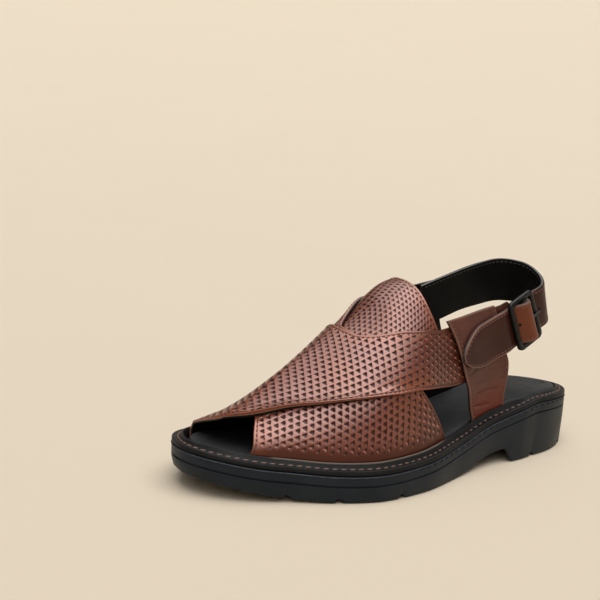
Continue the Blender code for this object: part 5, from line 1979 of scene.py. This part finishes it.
@dataclass(frozen=True)
class Sole:
    """Rubber unit, stitched welt and footbed."""

    form: SoleForm
    thread: Thread = Thread(pitch=0.0051, length=0.0041, radius=0.00058, sink=0.0001, slant=0.16)
    welt_thickness: float = 0.0032
    gap: float = 0.0003
    groove_drop: float = 0.0097
    groove_half: float = 0.0007
    groove_depth: float = 0.0010
    bead_drop: float = 0.0044
    bead_half: float = 0.0006
    bead_rise: float = 0.00035
    mark_pitch: float = 0.0062
    mark_share: float = 0.55
    mark_depth: float = 0.00055
    bottom_inset: float = 0.0012
    bottom_round: float = 0.0014
    tread_grooves: tuple[float, ...] = (0.014, 0.050, 0.178, 0.217, 0.243)
    tread_width: float = 0.0034
    tread_depth: float = 0.0020
    tread_slope: float = 0.0006
    lip_height: float = 0.0018
    lip_crest: float = 0.0010
    lip_highlight_span: tuple[float, float] = (0.145, 0.252)
    lip_inset: float = 0.0069
    stitch_inset: float = 0.0035
    stitch_depth: float = 0.0001
    lip_highlight_ramp: tuple[float, float] = (0.012, 0.006)
    mark_ramp: float = 0.12
    mark_ends: tuple[float, float] = (0.150, 0.190)
    mark_side: tuple[float, float] = (-0.06, -0.02)
    bottom_shares: tuple[float, ...] = (1.0, 0.8, 0.6, 0.4, 0.2, 0.08)
    round_turns: tuple[float, ...] = (25.0, 50.0, 75.0)
    wall_shares: tuple[float, ...] = (0.15, 0.3, 0.5, 0.7, 0.85)
    wall_power: float = 1.5
    roof_shares: tuple[float, ...] = (0.3, 1.0)
    sharp_angle: float = 50.0
    insole_cut: float = 0.0036
    insole_height: float = 0.0012
    insole_hollow: float = 0.0006
    insole_shares: tuple[float, ...] = (0.35, 0.7, 1.0)
    outsole_stations: int = 520
    welt_stations: int = 260

    def tread_cut(self, x: Array) -> Array:
        """Find how deep the cross grooves cut into the tread.

        Args:
            x: Distance from the heel.

        Returns:
            The depth.
        """
        depth = np.zeros_like(x)
        for centre in self.tread_grooves:
            cut = (self.tread_width / 2 + self.tread_slope - np.abs(x - centre)) / self.tread_slope
            depth = np.maximum(depth, np.clip(cut, 0, 1) * self.tread_depth)
        return depth

    def pale(self, x: Array) -> Array:
        """1 on the welt's lip beside the crossed straps, where its crest carries a painted highlight."""
        (rear, front), (start, stop) = self.lip_highlight_span, self.lip_highlight_ramp
        return ease(x, rear - start, rear) * (1 - ease(x, front - stop, front))

    def build(self) -> None:
        """Build the three layers and the welt's seam."""
        self.build_outsole()
        self.build_welt()
        self.build_insole()

    def build_outsole(self) -> None:
        """Rubber unit with heel, arch, toe spring, tread grooves, side groove and a marked bead."""
        stations = self.form.stations(self.outsole_stations)
        plan = self.form.loop(stations, 0.0)
        count = len(plan)
        x = plan[:, 0]
        edge = self.form.edge_z(x)
        foot = self.form.loop(stations, self.bottom_inset + self.bottom_round)
        rings = []
        for share in self.bottom_shares:
            flat = drawn_in(foot, share)
            height = self.form.bottom_z(flat[:, 0], np.full(count, share / 2))
            rings.append(raised(flat, height + self.tread_cut(flat[:, 0])))
        floor = self.form.bottom_z(x, np.zeros(count)) + self.tread_cut(x)
        groove = edge - self.groove_drop
        for inset, height in self.wall_rows(floor, groove) + self.bead_rows(edge, groove, self.marks(plan)):
            rings.append(raised(self.form.loop(stations, inset), height))
        crest = len(rings) - 4
        top = rings[-1]
        for share in self.roof_shares:
            rings.append(raised(drawn_in(top[:, :2], share), top[:, 2]))
        # the bead's crest row carries the painted highlight
        bead_glint = np.zeros((len(rings), count))
        bead_glint[crest] = 1.0
        bm = wrapped(np.array(rings), wrap_rows=False, values={"near_edge": bead_glint})
        piece = new_object("sole_unit", bm, self.sharp_angle)
        dress(piece, "rubber_black", ("outsole",), Finish.RUBBER)

    def marks(self, plan: Array) -> Array:
        """Find the dashes pressed in under the bead, which fade along the front of the outer side.

        Args:
            plan: The sole's outline.

        Returns:
            Depth of the dashes at each point of the outline.
        """
        phase = np.mod(lengths(plan, 0) / self.mark_pitch, 1.0)
        ends = ease(phase, self.mark_share, self.mark_share + self.mark_ramp)
        dash = ease(phase, 0.0, self.mark_ramp) * (1 - ends)
        bare = ease(plan[:, 0], *self.mark_ends) * ease(plan[:, 1], *self.mark_side)
        return self.mark_depth * dash * (1 - bare)

    def wall_rows(self, floor: Array, groove: Array) -> list:
        """List the rows of the outsole's side, from the tread up to its groove.

        Args:
            floor: Height of the tread along the outline.
            groove: Height of the groove's middle.

        Returns:
            Rows of an inset and a height.
        """
        bend = self.bottom_round
        low = floor + bend
        half = self.groove_half
        rows = [(self.bottom_inset + bend, floor)]
        for turn in self.round_turns:
            angle = math.radians(turn)
            inset = self.bottom_inset + bend * (1 - math.sin(angle))
            rows.append((inset, floor + bend * (1 - math.cos(angle))))
        rows.append((self.bottom_inset, low))
        for share in self.wall_shares:
            inset = self.bottom_inset * (1 - share) ** self.wall_power
            rows.append((inset, low + (groove - half - low) * share))
        return rows

    def bead_rows(self, edge: Array, groove: Array, mark: Array) -> list:
        """List the rows of the outsole's side, from its groove over the bead up to the welt.

        Args:
            edge: Height of the welt's top edge along the outline.
            groove: Height of the groove's middle.
            mark: Depth of the dashes under the bead.

        Returns:
            Rows of an inset and a height.
        """
        bead = edge - self.bead_drop
        roof = edge - self.welt_thickness - self.gap
        half = self.groove_half
        wide = self.bead_half
        rise = self.bead_rise
        return [
            (0.0, groove - half),
            (0.6 * self.groove_depth, groove - 0.6 * half),
            (self.groove_depth, groove - 0.2 * half),
            (self.groove_depth, groove + 0.2 * half),
            (0.6 * self.groove_depth, groove + 0.6 * half),
            (0.0, groove + half),
            (0.0, groove + 2 * half),
            (0.0, bead - 2.6 * wide),
            (mark * 0.3, bead - 1.6 * wide),
            (mark, bead - 1.2 * wide),
            (mark, bead - 0.2 * wide),
            (mark * 0.2 - 0.5 * rise, bead + 0.1 * wide),
            (-rise, bead + 0.5 * wide),
            (-rise * 0.6, bead + wide),
            (0.0004, roof - 0.0001),
            (0.0009, roof),
        ]

    def build_welt(self) -> None:
        """Leather strip with a sunk seam and a lip beside the straps."""
        stations = self.form.stations(self.welt_stations)
        rings = []
        rims = []
        for point in WELT_PROFILE:
            loop = self.form.loop(stations, point.inset)
            zone = self.form.zone(loop[:, 0])
            height = self.form.edge_z(loop[:, 0]) + point.height + self.lip_height * point.lip * zone
            rings.append(raised(loop, height))
            # the lip's crest rows carry the painted highlight
            rims.append(self.pale(loop[:, 0]) * (point.height > self.lip_crest))
        bm = wrapped(np.array(rings), wrap_rows=True, values={"near_edge": np.array(rims)})
        dress(new_object("welt_strip", bm), "welt_leather", ("welt",), Finish.WELT)
        line = self.form.loop(stations, self.stitch_inset)
        path = raised(line, self.form.edge_z(line[:, 0]) - self.stitch_depth)
        path = np.concatenate([path, path[:1]])
        upward = np.broadcast_to(np.array((0.0, 0.0, 1.0)), path.shape)
        seams = bmesh.new()
        self.thread.sew(seams, path, upward)
        dress(new_object("welt_seam", seams), "welt_leather", (), Finish.TAN_THREAD)

    def build_insole(self) -> None:
        """Footbed with a rolled edge and a slight hollow, cut back beside the straps."""
        stations = self.form.stations(self.welt_stations)
        zone = self.form.zone(self.form.loop(stations, self.lip_inset)[:, 0])
        edge = self.lip_inset + self.gap + zone * self.insole_cut
        rows = (
            (0.0, -0.0032),
            (0.0, -0.0004),
            (0.0003, 0.0006),
            (0.0010, 0.0012),
            (0.0020, 0.0014),
            (0.0060, 0.0012),
        )
        rings = []
        for inset, height in rows:
            loop = self.form.loop(stations, edge + inset)
            rings.append(raised(loop, self.form.edge_z(loop[:, 0]) + height))
        first = raised(drawn_in(rings[0][:, :2], 1.0), rings[0][:, 2])
        inner = []
        for share in self.insole_shares:
            flat = drawn_in(rings[-1][:, :2], share)
            level = self.insole_height - self.insole_hollow * share
            inner.append(raised(flat, self.form.edge_z(flat[:, 0]) + level))
        bm = wrapped(np.array([first] + rings + inner), wrap_rows=False)
        dress(new_object("footbed", bm), "insole_leather", ("insole",), Finish.INSOLE)


@dataclass(frozen=True)
class Canopy:
    """One wide light: strength, spread and the side it comes from; it may serve the gloss only."""

    name: str
    strength: float
    spread: float
    side: Colour
    gloss_only: bool = False


@dataclass(frozen=True)
class Studio:
    """Pale floor, soft lights and the camera at the photo's angle."""

    floor_colour: Colour = (0.80, 0.68, 0.52)
    floor_half: float = 9.0
    floor_flat: float = 1.5
    floor_rise: float = 0.03
    floor_drop: float = 0.0002
    floor_cells: int = 80
    floor_shade: float = 0.97
    floor_roughness: float = 0.85
    ambient: Colour = (1.00, 0.95, 0.88)
    ambient_strength: float = 0.10
    canopies: tuple[Canopy, ...] = (
        Canopy("overhead", 1.94, math.radians(60.0), (0.0, 0.24, 1.0)),
        Canopy("front", 0.86, math.radians(40.0), (0.70, 0.86, 1.0)),
        Canopy("sheen", 4.70, math.radians(104.0), (0.0, 0.10, 1.0), True),
    )
    lens: float = 77.075
    sensor: float = 36.0
    camera_place: Colour = (0.491, 0.60392, 0.2531)
    yaw: float = math.radians(34.602)
    elevation: float = math.radians(11.047)
    roll: float = math.radians(2.807)

    def build(self) -> None:
        """Build floor, lights, surroundings and camera."""
        self.build_floor()
        self.light()
        self.aim()

    def build_floor(self) -> None:
        """Floor that rises softly far from the shoe."""
        bm = bmesh.new()
        cells = self.floor_cells
        bmesh.ops.create_grid(bm, x_segments=cells, y_segments=cells, size=self.floor_half)
        for vertex in bm.verts:
            away = max(0.0, vertex.co.xy.length - self.floor_flat)
            vertex.co.z = self.floor_rise * away**2 - self.floor_drop
        mesh = bpy.data.meshes.new("floor")
        bm.to_mesh(mesh)
        bm.free()
        mesh.shade_smooth()
        floor = bpy.data.objects.new("floor", mesh)
        bpy.context.scene.collection.objects.link(floor)
        graph = Graph("pale_floor")
        tone = graph.noise(3.0, 2.0, 0.5)
        darker = tuple(self.floor_shade * value for value in self.floor_colour)
        colour = graph.mix(tone, rgba(self.floor_colour), rgba(darker))
        normal = graph.bump(tone, 0.01, 0.001)
        floor.data.materials.append(graph.finish(colour, self.floor_roughness, normal))

    def light(self) -> None:
        """Soft surroundings and wide lights."""
        world = bpy.data.worlds.new("surroundings")
        world.use_nodes = True
        shade = world.node_tree.nodes["Background"]
        shade.inputs["Color"].default_value = rgba(self.ambient)
        shade.inputs["Strength"].default_value = self.ambient_strength
        bpy.context.scene.world = world
        for canopy in self.canopies:
            lamp = bpy.data.lights.new(canopy.name, "SUN")
            lamp.energy = canopy.strength
            lamp.angle = canopy.spread
            made = bpy.data.objects.new(canopy.name, lamp)
            made.rotation_mode = "QUATERNION"
            made.rotation_quaternion = (-Vector(canopy.side)).to_track_quat("-Z", "Y")
            made.visible_diffuse = not canopy.gloss_only
            bpy.context.scene.collection.objects.link(made)

    def aim(self) -> None:
        """Camera at the photo's angle."""
        flat = math.cos(self.elevation)
        back = Vector((math.sin(self.yaw) * flat, math.cos(self.yaw) * flat, math.sin(self.elevation)))
        right = (-back).cross(Vector((0, 0, 1))).normalized()
        up = right.cross(-back)
        x_axis = math.cos(self.roll) * right + math.sin(self.roll) * up
        y_axis = math.cos(self.roll) * up - math.sin(self.roll) * right
        lens = bpy.data.cameras.new("camera")
        lens.lens = self.lens
        lens.sensor_width = self.sensor
        camera = bpy.data.objects.new("camera", lens)
        turn = Matrix((x_axis, y_axis, back)).transposed()
        camera.matrix_world = Matrix.Translation(Vector(self.camera_place)) @ turn.to_4x4()
        bpy.context.scene.collection.objects.link(camera)
        bpy.context.scene.camera = camera
        bpy.context.scene.view_settings.view_transform = "Standard"


def main() -> None:
    """Build every piece in order."""
    logging.basicConfig(level=logging.INFO, format="%(message)s")
    form = SoleForm()
    last = Last(form)
    strap = HeelStrap(last)
    Sole(form).build()
    CrossedStraps(last).build()
    Tongue(last).build()
    Quarters(last).build()
    strap.build()
    Buckle(strap).build()
    Studio().build()


if __name__ == "__main__":
    main()
